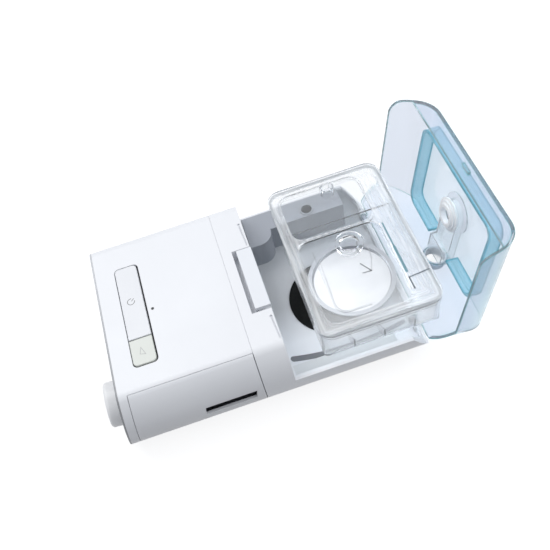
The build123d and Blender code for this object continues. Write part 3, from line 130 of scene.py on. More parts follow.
def map_range(material, value, from_min, from_max, to_min, to_max):
    """Value carried over from one range to another."""
    spread = add_node(
        material, "ShaderNodeMapRange",
        From_Min=from_min, From_Max=from_max, To_Min=to_min, To_Max=to_max,
    )
    join(material, value, spread.inputs["Value"])
    return spread.outputs["Result"]


def colour_ramp(material, value, *stops):
    """Colour that a value picks between stops, each a position and a colour."""
    ramp = add_node(material, "ShaderNodeValToRGB")
    elements = ramp.color_ramp.elements
    for element, (position, colour) in zip(elements, (stops[0], stops[-1])):
        element.position = position
        element.color = (*colour, 1.0)
    for position, colour in stops[1:-1]:
        elements.new(position).color = (*colour, 1.0)
    join(material, value, ramp.inputs["Fac"])
    return ramp.outputs["Color"]


def object_place(material):
    """The piece's own coordinates, in metres."""
    return add_node(material, "ShaderNodeTexCoord").outputs["Object"]


def object_noise(material, scale, detail=2.0):
    """Noise that reads the piece's own coordinates."""
    noise = add_node(material, "ShaderNodeTexNoise", Scale=scale, Detail=detail)
    join(material, object_place(material), noise.inputs["Vector"])
    return noise.outputs["Fac"]


def along_piece(material, start, end, start_value, end_value, axis="Y"):
    """Number that changes along one axis of the piece."""
    axes = add_node(material, "ShaderNodeSeparateXYZ")
    join(material, object_place(material), axes.inputs["Vector"])
    return map_range(material, axes.outputs[axis], start, end, start_value, end_value)


print("node helpers ready")


# %% Helpers for finishes
NOISE_LOW = 0.35
NOISE_HIGH = 0.65


def add_grain(material, shader, scale, height):
    """Fine relief of a mould texture, as a bump in the shader's normal."""
    bump = add_node(material, "ShaderNodeBump", Strength=1.0, Distance=height)
    join(material, object_noise(material, scale), bump.inputs["Height"])
    join(material, bump.outputs["Normal"], shader.inputs["Normal"])
    return bump


def vary_colour(material, shader, low, high, scale):
    """Slow change of tone between two near colours."""
    noise = object_noise(material, scale, 3.0)
    tone = colour_ramp(material, noise, (NOISE_LOW, low), (NOISE_HIGH, high))
    join(material, tone, shader.inputs["Base Color"])


def vary_roughness(material, shader, low, high, scale):
    """Roughness that drifts between two values over the surface."""
    drift = map_range(material, object_noise(material, scale, 4.0), 0.0, 1.0, low, high)
    join(material, drift, shader.inputs["Roughness"])


def multiply_colour(material, tone):
    """Multiply a finish's colour by the tone that a socket carries."""
    shader = material.node_tree.nodes["Principled BSDF"]
    product = add_node(
        material, "ShaderNodeMix", data_type="RGBA", blend_type="MULTIPLY", Factor=1.0
    )
    join(material, shader.inputs["Base Color"].links[0].from_socket, product.inputs["A"])
    join(material, tone, product.inputs["B"])
    join(material, product.outputs["Result"], shader.inputs["Base Color"])


def shade_along(material, start, end, start_tone, end_tone, axis="Y"):
    """Multiply a finish's colour by a tone that changes along one axis."""
    multiply_colour(material, along_piece(material, start, end, start_tone, end_tone, axis))


def dress(material, *names):
    """Give solids a material in place of the plain one they came with."""
    for name in names:
        slots = nodes[name].data.materials
        slots.clear()
        slots.append(material)


print("finish helpers ready")

# %% [markdown]
# ## Floor and light
# The photograph has a plain white ground. The floor is a pale sheet that is lit as the machine is,
# and rays from the camera, mirrors and glass see a little extra white in it, so that it reads as
# white paper while the machine's own shadow still shows. The sky is treated in the same way.


# %% Floor
FLOOR_SIZE = 14.0
FLOOR_SEEN = 0.84


def white_for_sight_rays(material, extra, base=0.0):
    """Strength that is higher for camera, glossy and transmission rays than for light."""
    path = add_node(material, "ShaderNodeLightPath").outputs
    sight = number_math(material, "MAXIMUM", path["Is Camera Ray"], path["Is Glossy Ray"])
    sight = number_math(material, "MAXIMUM", sight, path["Is Transmission Ray"])
    return number_math(material, "MULTIPLY_ADD", sight, extra, base)


floor_paper, floor_shader = new_material("floor_paper")
floor_shader.inputs["Base Color"].default_value = (0.25, 0.25, 0.26, 1.0)
floor_shader.inputs["Roughness"].default_value = 0.9
floor_shader.inputs["Emission Color"].default_value = (1.0, 1.0, 1.0, 1.0)
floor_white = white_for_sight_rays(floor_paper, FLOOR_SEEN)
join(floor_paper, floor_white, floor_shader.inputs["Emission Strength"])

bpy.ops.object.select_all(action="DESELECT")
bpy.ops.mesh.primitive_plane_add(size=FLOOR_SIZE, location=(0.0, 0.0, 0.0))
floor = bpy.context.object
floor.name = "floor"
floor.data.materials.append(floor_paper)
print("floor", tuple(floor.dimensions))

# %% Lights
SKY_LIGHT = 0.58
SKY_SEEN = 1.08
world = bpy.data.worlds.new("studio")
scene.world = world
world.use_nodes = True
sky = world.node_tree.nodes["Background"]
sky.inputs["Color"].default_value = (0.93, 0.96, 1.0, 1.0)
join(world, white_for_sight_rays(world, SKY_SEEN - SKY_LIGHT, SKY_LIGHT), sky.inputs["Strength"])


def soft_box(name, place, aim, size, power):
    """Square area lamp that looks at a point."""
    data = bpy.data.lights.new(name, "AREA")
    data.shape = "SQUARE"
    data.size = size
    data.energy = power
    lamp = bpy.data.objects.new(name, data)
    scene.collection.objects.link(lamp)
    lamp.location = place
    lamp.rotation_euler = (Vector(aim) - Vector(place)).to_track_quat("-Z", "Y").to_euler()


soft_box("key_lamp", place=(-0.5, 0.7, 1.5), aim=(0.0, 0.0, 0.05), size=1.0, power=11.5)
soft_box("fill_lamp", place=(0.9, -0.2, 1.2), aim=(0.05, 0.0, 0.05), size=0.9, power=5.5)
print("lamps set")

# %% [markdown]
# ## Moulded plastics
# The covers are moulded in cool white plastic with a fine satin texture. A broad, faint change of
# tone and roughness keeps the large faces alive, a fine grain breaks the highlights, and the Bevel
# node rounds the normals at each edge, as the mould does. The grey, black and rubber parts use the
# same recipe in other tones.


# %% Moulded plastic
EDGE_RADIUS = 0.0006
GRAIN_SCALE = 1400.0
GRAIN_HEIGHT = 0.00003
TONE_SCALE = 9.0
ROUGHNESS_SCALE = 60.0
ROUGHNESS_DRIFT = 0.05


def moulded_plastic(
    name, low, high, roughness, grain_height=GRAIN_HEIGHT, grain_scale=GRAIN_SCALE
):
    """Opaque plastic with a fine mould grain and softened edges."""
    material, shader = new_material(name)
    vary_colour(material, shader, low, high, TONE_SCALE)
    smoothest, roughest = roughness - ROUGHNESS_DRIFT, roughness + ROUGHNESS_DRIFT
    vary_roughness(material, shader, smoothest, roughest, ROUGHNESS_SCALE)
    bump = add_grain(material, shader, grain_scale, grain_height)
    edge = add_node(material, "ShaderNodeBevel", Radius=EDGE_RADIUS)
    join(material, edge.outputs["Normal"], bump.inputs["Normal"])
    return material


def dress_moulded(*finishes):
    """Make each finish, from its name, two tones and roughness, and dress its solids in it."""
    made = {}
    for name, low, high, roughness, *solids in finishes:
        made[name] = moulded_plastic(name, low, high, roughness)
        dress(made[name], *solids)
    return made


whites = dress_moulded(
    ("white_housing", (0.79, 0.80, 0.83), (0.82, 0.83, 0.86), 0.38,
     "humidifier_shell", "unit_rear_panel"),
    ("unit_white_painted_shade", (0.79, 0.80, 0.83), (0.82, 0.83, 0.86), 0.38, "unit_cover", "side_door"),
    ("key_white", (0.73, 0.74, 0.77), (0.76, 0.77, 0.80), 0.33, "power_button"),
    ("key_green_white", (0.65, 0.67, 0.63), (0.68, 0.70, 0.66), 0.33, "ramp_button"),
    ("latch_white", (0.76, 0.78, 0.82), (0.79, 0.81, 0.85), 0.36, "lid_latch"),
    ("dial_white", (0.91, 0.91, 0.92), (0.94, 0.94, 0.95), 0.34, "control_dial"),
)

# Painted shade: the side of the therapy unit is darker towards its lower edge, where less light
# falls.
shade_along(
    whites["unit_white_painted_shade"], start=0.018, end=0.060, start_tone=0.80, end_tone=1.0, axis="Z"
)
print("white parts dressed")

# %% Grey and black plastics
greys = dress_moulded(
    ("bezel_grey", (0.55, 0.56, 0.59), (0.59, 0.60, 0.63), 0.42, "front_bezel"),
    ("base_grey", (0.42, 0.43, 0.50), (0.45, 0.46, 0.53), 0.45,
     "unit_chassis", "humidifier_bottom"),
    ("liner_grey", (0.86, 0.89, 0.93), (0.90, 0.93, 0.97), 0.40, "humidifier_tub"),
    ("air_box_grey", (0.30, 0.32, 0.36), (0.34, 0.36, 0.40), 0.40, "dry_box", "dry_box_cover"),
    ("inner_grey", (0.32, 0.33, 0.35), (0.36, 0.37, 0.39), 0.5,
     "side_frame", "blower_housing_lower", "blower_housing_upper", "impeller"),
    ("black_plastic", (0.015, 0.015, 0.017), (0.025, 0.025, 0.028), 0.45,
     "button_tray", "light_sensor", "power_socket", "display_module"),
    ("pale_fitting", (0.55, 0.58, 0.62), (0.60, 0.63, 0.67), 0.4, "outlet_port", "inlet_tube"),
)

# Painted shade: the liner is darker towards its far side, where the far end of the tub lies in
# shade. The bezel is paler towards its far side.
shade_along(greys["liner_grey"], start=-0.045, end=-0.004, start_tone=0.96, end_tone=0.60)
shade_along(greys["bezel_grey"], start=-0.085, end=0.040, start_tone=0.52, end_tone=1.0)
print("grey parts dressed")

# %% Heater coat and carrier
heater_coat, heater_shader = new_material("heater_coat")
vary_colour(heater_coat, heater_shader, (0.004, 0.005, 0.005), (0.009, 0.010, 0.010), 220.0)
vary_roughness(heater_coat, heater_shader, 0.55, 0.75, 300.0)
heater_shader.inputs["Specular IOR Level"].default_value = 0.10
add_grain(heater_coat, heater_shader, 2500.0, 0.00004)
dress(heater_coat, "heater_plate")
pressed_fibre = moulded_plastic(
    "pressed_fibre", (0.42, 0.37, 0.30), (0.52, 0.46, 0.38), 0.8,
    grain_height=0.00012, grain_scale=700.0,
)
dress(pressed_fibre, "heater_insulator")
print("heater dressed")

# %% Rubber and silicone
dark_rubber = moulded_plastic(
    "dark_rubber", (0.012, 0.012, 0.013), (0.022, 0.022, 0.023), 0.7, grain_height=0.00006
)
dress(dark_rubber, "unit_feet", "humidifier_feet", "blower_mounts")
dress_moulded(
    ("seal_white", (0.97, 0.97, 0.98), (0.98, 0.98, 0.99), 0.45, "lid_seal"),
    ("white_silicone", (0.78, 0.79, 0.80), (0.84, 0.85, 0.86), 0.5, "blower_seal"),
    ("pale_silicone", (0.60, 0.63, 0.66), (0.66, 0.69, 0.72), 0.45,
     "tank_plate_gasket", "tank_cover_gasket"),
    ("grey_silicone", (0.30, 0.32, 0.35), (0.36, 0.38, 0.41), 0.5, "dry_box_seal"),
)
print("rubber dressed")

# %% [markdown]
# ## Metals
# The plate in the tank, the pins and the motor are bare metal with fine drawn lines. Rings that
# follow the distance to the plate's middle darken it: a narrow ring of painted shade along the
# seam, and the pressed rim darker than the floor.


# %% Metals
LINE_STRETCH = 14.0
LINE_DEPTH = 0.00002
METAL_DRIFT = 0.06


def bare_metal(name, colour, roughness, line_scale, darkest=0.85):
    """Metal with fine lines that run one way."""
    material, shader = new_material(name)
    shader.inputs["Metallic"].default_value = 1.0
    stretch = add_node(material, "ShaderNodeMapping", Scale=(1.0, LINE_STRETCH, LINE_STRETCH))
    noise = add_node(material, "ShaderNodeTexNoise", Scale=line_scale, Detail=3.0)
    join(material, object_place(material), stretch.inputs["Vector"])
    join(material, stretch.outputs["Vector"], noise.inputs["Vector"])
    lines = noise.outputs["Fac"]
    low = tuple(darkest * c for c in colour)
    tone = colour_ramp(material, lines, (0.0, low), (1.0, colour))
    join(material, tone, shader.inputs["Base Color"])
    bump = add_node(material, "ShaderNodeBump", Strength=0.6, Distance=LINE_DEPTH)
    join(material, lines, bump.inputs["Height"])
    join(material, bump.outputs["Normal"], shader.inputs["Normal"])
    vary_roughness(material, shader, roughness - METAL_DRIFT, roughness + METAL_DRIFT, 90.0)
    return material


def distance_to_axis(material, middle, radius):
    """Distance to the upright line through a point, one at the radius."""
    from_middle = vector_math(material, "SUBTRACT", object_place(material), middle)
    flat = vector_math(material, "MULTIPLY", from_middle, (1.0 / radius, 1.0 / radius, 0.0))
    return vector_math(material, "LENGTH", flat)


tank_steel = bare_metal("tank_steel", (0.82, 0.82, 0.83), 0.32, 60.0, darkest=0.93)
dress(tank_steel, "tank_plate")

PLATE_RADIUS = 0.038
# Painted shade: a narrow dark ring along the seam where the pressed rim meets the floor.
PLATE_FLOOR = (0.955, (1.0, 1.0, 1.0))
PLATE_SEAM_SHADE = (0.975, (0.30, 0.31, 0.33))
PLATE_RIM = (1.0, (0.62, 0.64, 0.67))
low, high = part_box("tank_plate")
reach = distance_to_axis(tank_steel, (low + high) / 2.0, PLATE_RADIUS)
multiply_colour(tank_steel, colour_ramp(tank_steel, reach, PLATE_FLOOR, PLATE_SEAM_SHADE, PLATE_RIM))

dress(
    bare_metal("pin_steel", (0.62, 0.62, 0.64), 0.3, 90.0),
    "side_door_pins", "lid_latch_pin", "lid_hinge_pins", "unit_screws", "humidifier_screws",
)
dress(bare_metal("motor_metal", (0.66, 0.66, 0.68), 0.35, 80.0), "blower_motor", "dial_encoder")
print("metals dressed")

# %% Circuit boards and filter
board_mask, board_shader = new_material("board_mask")
vary_colour(board_mask, board_shader, (0.010, 0.07, 0.03), (0.02, 0.12, 0.05), 260.0)
vary_roughness(board_mask, board_shader, 0.25, 0.45, 200.0)
add_grain(board_mask, board_shader, 500.0, 0.00005)
dress(board_mask, "main_board", "button_switch_board")

filter_foam, foam_shader = new_material("filter_foam")
vary_colour(filter_foam, foam_shader, (0.02, 0.022, 0.026), (0.09, 0.10, 0.12), 900.0)
foam_shader.inputs["Roughness"].default_value = 0.95
add_grain(filter_foam, foam_shader, 900.0, 0.0006)
dress(filter_foam, "air_filter")
print("boards and filter dressed")

# %% [markdown]
# ## Clear plastics
# The tank is clear, the lid is pale blue and both are thin walls. Each is a glass shader whose
# colour deepens where the wall is seen edge on, which is how a tinted moulding gets its dark rim.
# Lamplight passes through it: rays on their way to a lamp meet a plain see-through shader in its
# place, because the light that real plastic bends would take far too many samples to gather.

# %% Clear plastic
CORNER_LINE = 0.0006
LID_LINE = 0.0018
FRAME_LINE = 0.0030
CORNER_CLEARNESS = 0.45
FLAT_LIKENESS = 0.98
CORNER_LIKENESS = 0.80
FACE_ON = 0.35
EDGE_ON = 0.95
NEAR_SIDE = -0.060
MIDDLE = -0.010
STREAK_SCALE = 260.0
STREAK_STRETCH = 0.08
SCUFF_SCALE = 120.0
SCUFF_HEIGHT = 0.00001
SMOOTHEST_SHARE = 0.6
ROUGHEST_SHARE = 1.4


def corner_mask(material, radius):
    """One where the surface turns a corner and nought on its flats."""
    rounded = add_node(material, "ShaderNodeBevel", Radius=radius).outputs["Normal"]
    surface = add_node(material, "ShaderNodeNewGeometry").outputs["True Normal"]
    likeness = vector_math(material, "DOT_PRODUCT", rounded, surface)
    return map_range(material, likeness, FLAT_LIKENESS, CORNER_LIKENESS, 0.0, 1.0)


def rim_streaks(material, low, high):
    """Noise in long streaks that follow the outline of a box seen from above."""
    from_middle = vector_math(material, "SUBTRACT", object_place(material), (low + high) / 2.0)
    outward = vector_math(material, "ABSOLUTE", from_middle)
    inset = vector_math(material, "SUBTRACT", outward, (high - low) / 2.0)
    axes = add_node(material, "ShaderNodeSeparateXYZ")
    join(material, inset, axes.inputs["Vector"])
    inset_x, inset_y = axes.outputs["X"], axes.outputs["Y"]
    from_edge = number_math(material, "MAXIMUM", inset_x, inset_y)
    total = number_math(material, "ADD", inset_x, inset_y)
    along_edge = number_math(material, "MULTIPLY", total, STREAK_STRETCH)
    spot = add_node(material, "ShaderNodeCombineXYZ")
    cloud = add_node(material, "ShaderNodeTexNoise", Scale=STREAK_SCALE, Detail=1.0)
    join(material, from_edge, spot.inputs["X"])
    join(material, along_edge, spot.inputs["Y"])
    join(material, spot.outputs["Vector"], cloud.inputs["Vector"])
    return cloud.outputs["Fac"]


def clear_plastic(
    name, face, edge, shade, clearness, line,
    roughness=0.04, bend=1.4, near=None, cloudy=None, line_width=CORNER_LINE,
):
    """See-through plastic: face colour, darker edge colour, tint of its shadow, corner shade
    colour.

    With near, it is that clear on the near side and reaches its full clearness beyond the middle.
    With cloudy, its clearness drifts down to that value in long streaks.
    """
    material, shader = new_material(name)
    shader.inputs["IOR"].default_value = bend
    smoothest, roughest = roughness * SMOOTHEST_SHARE, roughness * ROUGHEST_SHARE
    vary_roughness(material, shader, smoothest, roughest, 45.0)
    weight = add_node(material, "ShaderNodeLayerWeight", Blend=0.35)
    wall = colour_ramp(material, weight.outputs["Facing"], (FACE_ON, face), (EDGE_ON, edge))
    # Painted shade: a darker line along each corner stands for the light that a real clear edge
    # bends away.
    corner = corner_mask(material, line_width)
    tone = add_node(material, "ShaderNodeMix", data_type="RGBA", B=(*line, 1.0))
    join(material, corner, tone.inputs["Factor"])
    join(material, wall, tone.inputs["A"])
    join(material, tone.outputs["Result"], shader.inputs["Base Color"])
    clear = add_node(
        material, "ShaderNodeMapRange", To_Min=clearness, To_Max=CORNER_CLEARNESS * clearness
    )
    join(material, corner, clear.inputs["Value"])
    if near is not None:
        dimmer_near = along_piece(material, NEAR_SIDE, MIDDLE, near, clearness)
        join(material, dimmer_near, clear.inputs["To Min"])
    if cloudy is not None:
        cloud = rim_streaks(material, *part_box("tank_cover"))
        streaks = map_range(material, cloud, NOISE_LOW, NOISE_HIGH, cloudy, clearness)
        join(material, streaks, clear.inputs["To Min"])
    join(material, clear.outputs["Result"], shader.inputs["Transmission Weight"])
    add_grain(material, shader, SCUFF_SCALE, SCUFF_HEIGHT)
    path = add_node(material, "ShaderNodeLightPath")
    passing = add_node(material, "ShaderNodeBsdfTransparent", Color=(*shade, 1.0))
    either = add_node(material, "ShaderNodeMixShader")
    output = material.node_tree.nodes["Material Output"]
    join(material, path.outputs["Is Shadow Ray"], either.inputs["Fac"])
    join(material, shader.outputs["BSDF"], either.inputs[1])
    join(material, passing.outputs["BSDF"], either.inputs[2])
    join(material, either.outputs["Shader"], output.inputs["Surface"])
    return material


clear_tank = clear_plastic(
    "clear_tank", face=(0.95, 0.96, 0.97), edge=(0.84, 0.87, 0.90), shade=(0.93, 0.94, 0.95),
    clearness=0.98, line=(0.62, 0.65, 0.69), near=0.86,
)
lid_clear = clear_plastic(
    "lid_clear", face=(0.78, 0.82, 0.89), edge=(0.40, 0.72, 0.73), shade=(0.80, 0.90, 0.95),
    clearness=0.88, line=(0.05, 0.38, 0.38), bend=1.28, line_width=LID_LINE,
)
lid_blue = clear_plastic(
    "lid_blue", face=(0.47, 0.73, 0.82), edge=(0.12, 0.44, 0.52), shade=(0.60, 0.82, 0.90),
    clearness=0.85, line=(0.04, 0.36, 0.46), line_width=FRAME_LINE,
)
duct_clear = clear_plastic(
    "duct_clear", face=(0.97, 0.98, 0.99), edge=(0.90, 0.93, 0.95), shade=(0.92, 0.95, 0.97),
    clearness=0.85, line=(0.84, 0.87, 0.90), roughness=0.16, bend=1.15,
)
dress(clear_tank, "water_tank", "tank_cover")
dress(lid_clear, "lid")
dress(lid_blue, "lid_frame")
dress(duct_clear, "lid_duct")
print("clear parts dressed")

# %% [markdown]
# ## Frosted faces
# The rim of the tank cover and the front wall of the tank are frosted. They are faces of solids
# that are clear elsewhere, so they are found by their place and turn and get a second material.

# %% Frosted faces and the display
frosted = clear_plastic(
    "frosted_rim", face=(0.97, 0.98, 0.99), edge=(0.93, 0.94, 0.96), shade=(0.95, 0.96, 0.97),
    clearness=0.88, line=(0.74, 0.76, 0.80), roughness=0.14, cloudy=0.55,
)
# The collar of the port stands highest on the cover, and the clips stand a little above the rim.
COLLAR_RISE = 0.0019
CLIP_RISE = 0.0008
FLUSH = 0.0003
FRONT_WALL = 0.004
FACES_THAT_WAY = 0.9
rim_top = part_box("tank_cover")[1].z - COLLAR_RISE
cover = nodes["tank_cover"].data
cover.materials.append(frosted)
for face in cover.polygons:
    at_rim = rim_top - FLUSH < face.center.z < rim_top + CLIP_RISE + FLUSH
    if face.normal.z > FACES_THAT_WAY and at_rim:
        face.material_index = 1
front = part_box("water_tank")[0].x + FRONT_WALL
tank = nodes["water_tank"].data
tank.materials.append(frosted)
for face in tank.polygons:
    if abs(face.normal.x) > FACES_THAT_WAY and face.center.x < front:
        face.material_index = 1

screen_glass, screen_shader = new_material("screen_glass")
vary_colour(screen_glass, screen_shader, (0.010, 0.011, 0.013), (0.014, 0.015, 0.017), 30.0)
vary_roughness(screen_glass, screen_shader, 0.05, 0.10, 80.0)
add_grain(screen_glass, screen_shader, 60.0, 0.000005)
dress(screen_glass, "display_window")
print("frosted faces and display dressed")

# %% [markdown]
# ## Near side of the tub
# The floor of the tub ends in a shadowed groove along its near side, and from there the wall rises
# in a hollow curve. The curve is a quarter of a tube: a cylinder with three quarters of its
# vertices deleted, thickened by a Solidify modifier. The groove's shadow is painted: a flat dark
# strip laid a hair above the floor, whose ends and bow come from a formula.


# %% Cove
LINER_WALL = 0.0018
LINER_FLOOR = 0.002
COVE_RADIUS = 0.0245
COVE_STEPS = 96
COVE_SHEET = 0.0012
COVE_REAR = 0.118


def place_in_mesh(piece):
    """Put the piece's place, turn and size in its mesh."""
    bpy.context.view_layer.objects.active = piece
    piece.select_set(True)
    bpy.ops.object.transform_apply(location=True, rotation=True, scale=True)


def face_outwards():
    """Turn the faces of the piece in edit mode outwards, and leave edit mode."""
    bpy.ops.mesh.select_all(action="SELECT")
    bpy.ops.mesh.normals_make_consistent(inside=False)
    bpy.ops.object.mode_set(mode="OBJECT")


tub_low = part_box("humidifier_tub")[0]
cove_front = tub_low.x + LINER_WALL
cove_axis = Vector((
    (cove_front + COVE_REAR) / 2.0,
    tub_low.y + LINER_WALL + COVE_RADIUS,
    tub_low.z + LINER_FLOOR + COVE_RADIUS,
))
bpy.ops.object.select_all(action="DESELECT")
bpy.ops.mesh.primitive_cylinder_add(
    vertices=COVE_STEPS, radius=COVE_RADIUS, depth=COVE_REAR - cove_front, end_fill_type="NOTHING",
    location=cove_axis, rotation=(0.0, math.radians(90.0), 0.0),
)
tub_cove = bpy.context.object
tub_cove.name = "tub_cove"
place_in_mesh(tub_cove)
bpy.ops.object.mode_set(mode="EDIT")
bpy.ops.mesh.select_all(action="DESELECT")
tube = bmesh.from_edit_mesh(tub_cove.data)
for vertex in tube.verts:
    above_axis = vertex.co.z > cove_axis.z + FLUSH
    beyond_axis = vertex.co.y > cove_axis.y + FLUSH
    vertex.select = above_axis or beyond_axis
bmesh.update_edit_mesh(tub_cove.data)
bpy.ops.mesh.delete(type="VERT")
bpy.ops.object.mode_set(mode="OBJECT")
sheet = tub_cove.modifiers.new("sheet", "SOLIDIFY")
sheet.thickness = COVE_SHEET
sheet.offset = 0.0
bpy.ops.object.modifier_apply(modifier="sheet")
bpy.ops.object.mode_set(mode="EDIT")
face_outwards()
bpy.ops.object.shade_smooth_by_angle(angle=math.radians(30.0))
cove_grey = moulded_plastic("cove_grey", (0.72, 0.75, 0.77), (0.78, 0.81, 0.83), 0.30)
tub_cove.data.materials.append(cove_grey)
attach(tub_cove, "base")
print("tub cove", len(tub_cove.data.polygons), "faces")

# %% Groove
GROOVE_FRONT = 0.0195
GROOVE_REAR = 0.1325
GROOVE_WIDTH = 0.0058
GROOVE_BOW = 0.0070
GROOVE_Y = -0.0600
GROOVE_LIFT = 0.00012
GROOVE_STEPS = 96
bpy.ops.object.select_all(action="DESELECT")
bpy.ops.mesh.primitive_grid_add(
    x_subdivisions=GROOVE_STEPS, y_subdivisions=2, size=1.0,
    location=(0.0, 0.0, tub_low.z + LINER_FLOOR + GROOVE_LIFT),
)
groove_shadow_strip = bpy.context.object
groove_shadow_strip.name = "groove_shadow_strip"
place_in_mesh(groove_shadow_strip)
half_length = (GROOVE_REAR - GROOVE_FRONT) / 2.0
half_width = GROOVE_WIDTH / 2.0
for vertex in groove_shadow_strip.data.vertices:
    along = vertex.co.x * 2.0
    from_end = (1.0 - abs(along)) * half_length
    inside_end = max(0.0, half_width - from_end)
    half_here = math.sqrt(max(0.0, half_width**2 - inside_end**2))
    vertex.co.x = GROOVE_FRONT + half_length * (1.0 + along)
    vertex.co.y = GROOVE_Y - GROOVE_BOW * (1.0 - along**2) + 2.0 * half_here * vertex.co.y
# Painted shadow: the strip's dark grey stands for the shade in the groove.
groove_painted_shadow = moulded_plastic("groove_painted_shadow", (0.16, 0.17, 0.19), (0.20, 0.21, 0.23), 0.6)
groove_shadow_strip.data.materials.append(groove_painted_shadow)
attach(groove_shadow_strip, "base")
print("groove shadow strip", len(groove_shadow_strip.data.polygons), "faces")

# %% [markdown]
# ## Joint between the two halves
# The humidifier meets the therapy unit in a joint so fine that it hardly shows on the flat top. A
# pale strip stands in the gap there, a tenth of a millimetre below the surface.

# %% Joint strip
JOINT_BELOW = 0.0001
JOINT_DEEP = 0.0010
JOINT_HALF_LENGTH = 0.079
JOINT_FILL = 0.9
unit_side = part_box("unit_cover")[1]
humidifier_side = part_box("humidifier_shell")[0].x
gap = humidifier_side - unit_side.x
bpy.ops.object.select_all(action="DESELECT")
bpy.ops.mesh.primitive_cube_add(
    size=1.0,
    location=(unit_side.x + gap / 2.0, 0.0, unit_side.z - JOINT_BELOW - JOINT_DEEP / 2.0),
)
joint_strip = bpy.context.object
joint_strip.name = "joint_strip"
joint_strip.scale = (JOINT_FILL * gap, 2.0 * JOINT_HALF_LENGTH, JOINT_DEEP)
place_in_mesh(joint_strip)
joint_strip.data.materials.append(whites["white_housing"])
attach(joint_strip, "base")
print("joint strip", tuple(round(c, 5) for c in joint_strip.dimensions))

# %% [markdown]
# ## Marks on the keys
# The long key carries the usual on and off sign, an open ring with a bar, and the short key a small
# wedge for the pressure ramp. Both are thin ink: a flat outline, cut from a circle or a square, is
# given a hair of height and laid on the key's top face.


# %% Helpers for marks
INK_HEIGHT = 0.00004
key_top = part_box("power_button")[1].z


def start_editing():
    """Open the new piece in edit mode with nothing selected."""
    bpy.ops.object.mode_set(mode="EDIT")
    bpy.ops.mesh.select_all(action="DESELECT")
    return bmesh.from_edit_mesh(bpy.context.object.data)


def thicken_mark():
    """Give the flat outline in edit mode its height, and put its place in its mesh."""
    bpy.ops.mesh.select_all(action="SELECT")
    bpy.ops.mesh.extrude_region_move(TRANSFORM_OT_translate={"value": (0.0, 0.0, INK_HEIGHT)})
    face_outwards()
    place_in_mesh(bpy.context.object)


print("keys end at", round(key_top, 4))

# %% On and off sign
POWER_SIGN = Vector((-0.1007, 0.0106, 0.0))
POWER_SIGN_TURN = math.radians(-48.0)
RING_STEPS = 60
RING_RADIUS = 0.0036
RING_LINE = 0.0007
RING_HALF_OPENING = 32.0
BAR_LENGTH = 0.0034
BAR_MIDDLE = 0.0024
bpy.ops.object.select_all(action="DESELECT")
bpy.ops.mesh.primitive_circle_add(
    vertices=RING_STEPS, radius=RING_RADIUS, location=(0.0, 0.0, key_top)
)
ring = bpy.context.object
mesh = start_editing()
for vertex in mesh.verts:
    angle = math.degrees(math.atan2(vertex.co.y, vertex.co.x))
    vertex.select = abs(angle - 90.0) < RING_HALF_OPENING
bmesh.update_edit_mesh(ring.data)
bpy.ops.mesh.delete(type="VERT")
bpy.ops.mesh.select_all(action="SELECT")
bpy.ops.mesh.extrude_region_move()
shrink = 1.0 - RING_LINE / RING_RADIUS
bpy.ops.transform.resize(value=(shrink, shrink, 1.0), center_override=(0.0, 0.0, key_top))
thicken_mark()

bpy.ops.mesh.primitive_plane_add(size=1.0, location=(0.0, BAR_MIDDLE, key_top))
bar = bpy.context.object
start_editing()
bpy.ops.mesh.select_all(action="SELECT")
bpy.ops.transform.resize(value=(RING_LINE, BAR_LENGTH, 1.0))
thicken_mark()
ring.select_set(True)
bar.select_set(True)
bpy.context.view_layer.objects.active = ring
bpy.ops.object.join()
power_sign = ring
power_sign.name = "power_sign"
power_sign.rotation_euler.z = POWER_SIGN_TURN
power_sign.location = POWER_SIGN
place_in_mesh(power_sign)
print("power sign", len(power_sign.data.polygons), "faces")

# %% Ramp wedge
RAMP_SIGN = Vector((-0.1003, -0.0435, 0.0))
RAMP_CORNERS = ((-0.0025, -0.0019), (0.0030, -0.0035), (-0.0005, 0.0054))
RAMP_LINE = 0.0005
bpy.ops.object.select_all(action="DESELECT")
bpy.ops.mesh.primitive_plane_add(size=1.0, location=(0.0, 0.0, key_top))
ramp_sign = bpy.context.object
ramp_sign.name = "ramp_sign"
mesh = start_editing()
corner = max(mesh.verts, key=lambda vertex: vertex.co.x + vertex.co.y)
corner.select = True
bmesh.update_edit_mesh(ramp_sign.data)
bpy.ops.mesh.delete(type="VERT")
bpy.ops.mesh.select_all(action="SELECT")
bpy.ops.mesh.edge_face_add()
mesh = bmesh.from_edit_mesh(ramp_sign.data)
for vertex, place in zip(mesh.verts, RAMP_CORNERS):
    vertex.co.x, vertex.co.y = place
bmesh.update_edit_mesh(ramp_sign.data)
bpy.ops.mesh.inset(thickness=RAMP_LINE)
bpy.ops.mesh.delete(type="FACE")
thicken_mark()
ramp_sign.location = RAMP_SIGN
place_in_mesh(ramp_sign)
print("ramp sign", len(ramp_sign.data.polygons), "faces")

# %% Ink
INK_DRIFT = 0.04
for sign, body, ink, shade in (
    (power_sign, "power_button", "grey_ink", 0.24),
    (ramp_sign, "ramp_button", "pale_ink", 0.44),
):
    ink_coat, ink_shader = new_material(ink)
    vary_colour(ink_coat, ink_shader, (shade,) * 3, (shade + INK_DRIFT,) * 3, 800.0)
    vary_roughness(ink_coat, ink_shader, 0.4, 0.6, 900.0)
    sign.data.materials.append(ink_coat)
    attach(sign, body)
print("signs ride on their keys")

# %% [markdown]
# ## Lines on the tank cover
# Through the near panel of the cover the photograph shows a rounded bead and a small turning arrow.
# A teal line and a wider teal band, painted shade of the panel's rear wall, and a dark corner run
# along the panel's rear edge. Each is a row of thin bars, joined.


# %% Helper for lines
PANEL_DEPTH = 0.0020
BAR_OVERLAP = 0.6
panel_floor = rim_top - PANEL_DEPTH + INK_HEIGHT
rim_line = rim_top + INK_HEIGHT


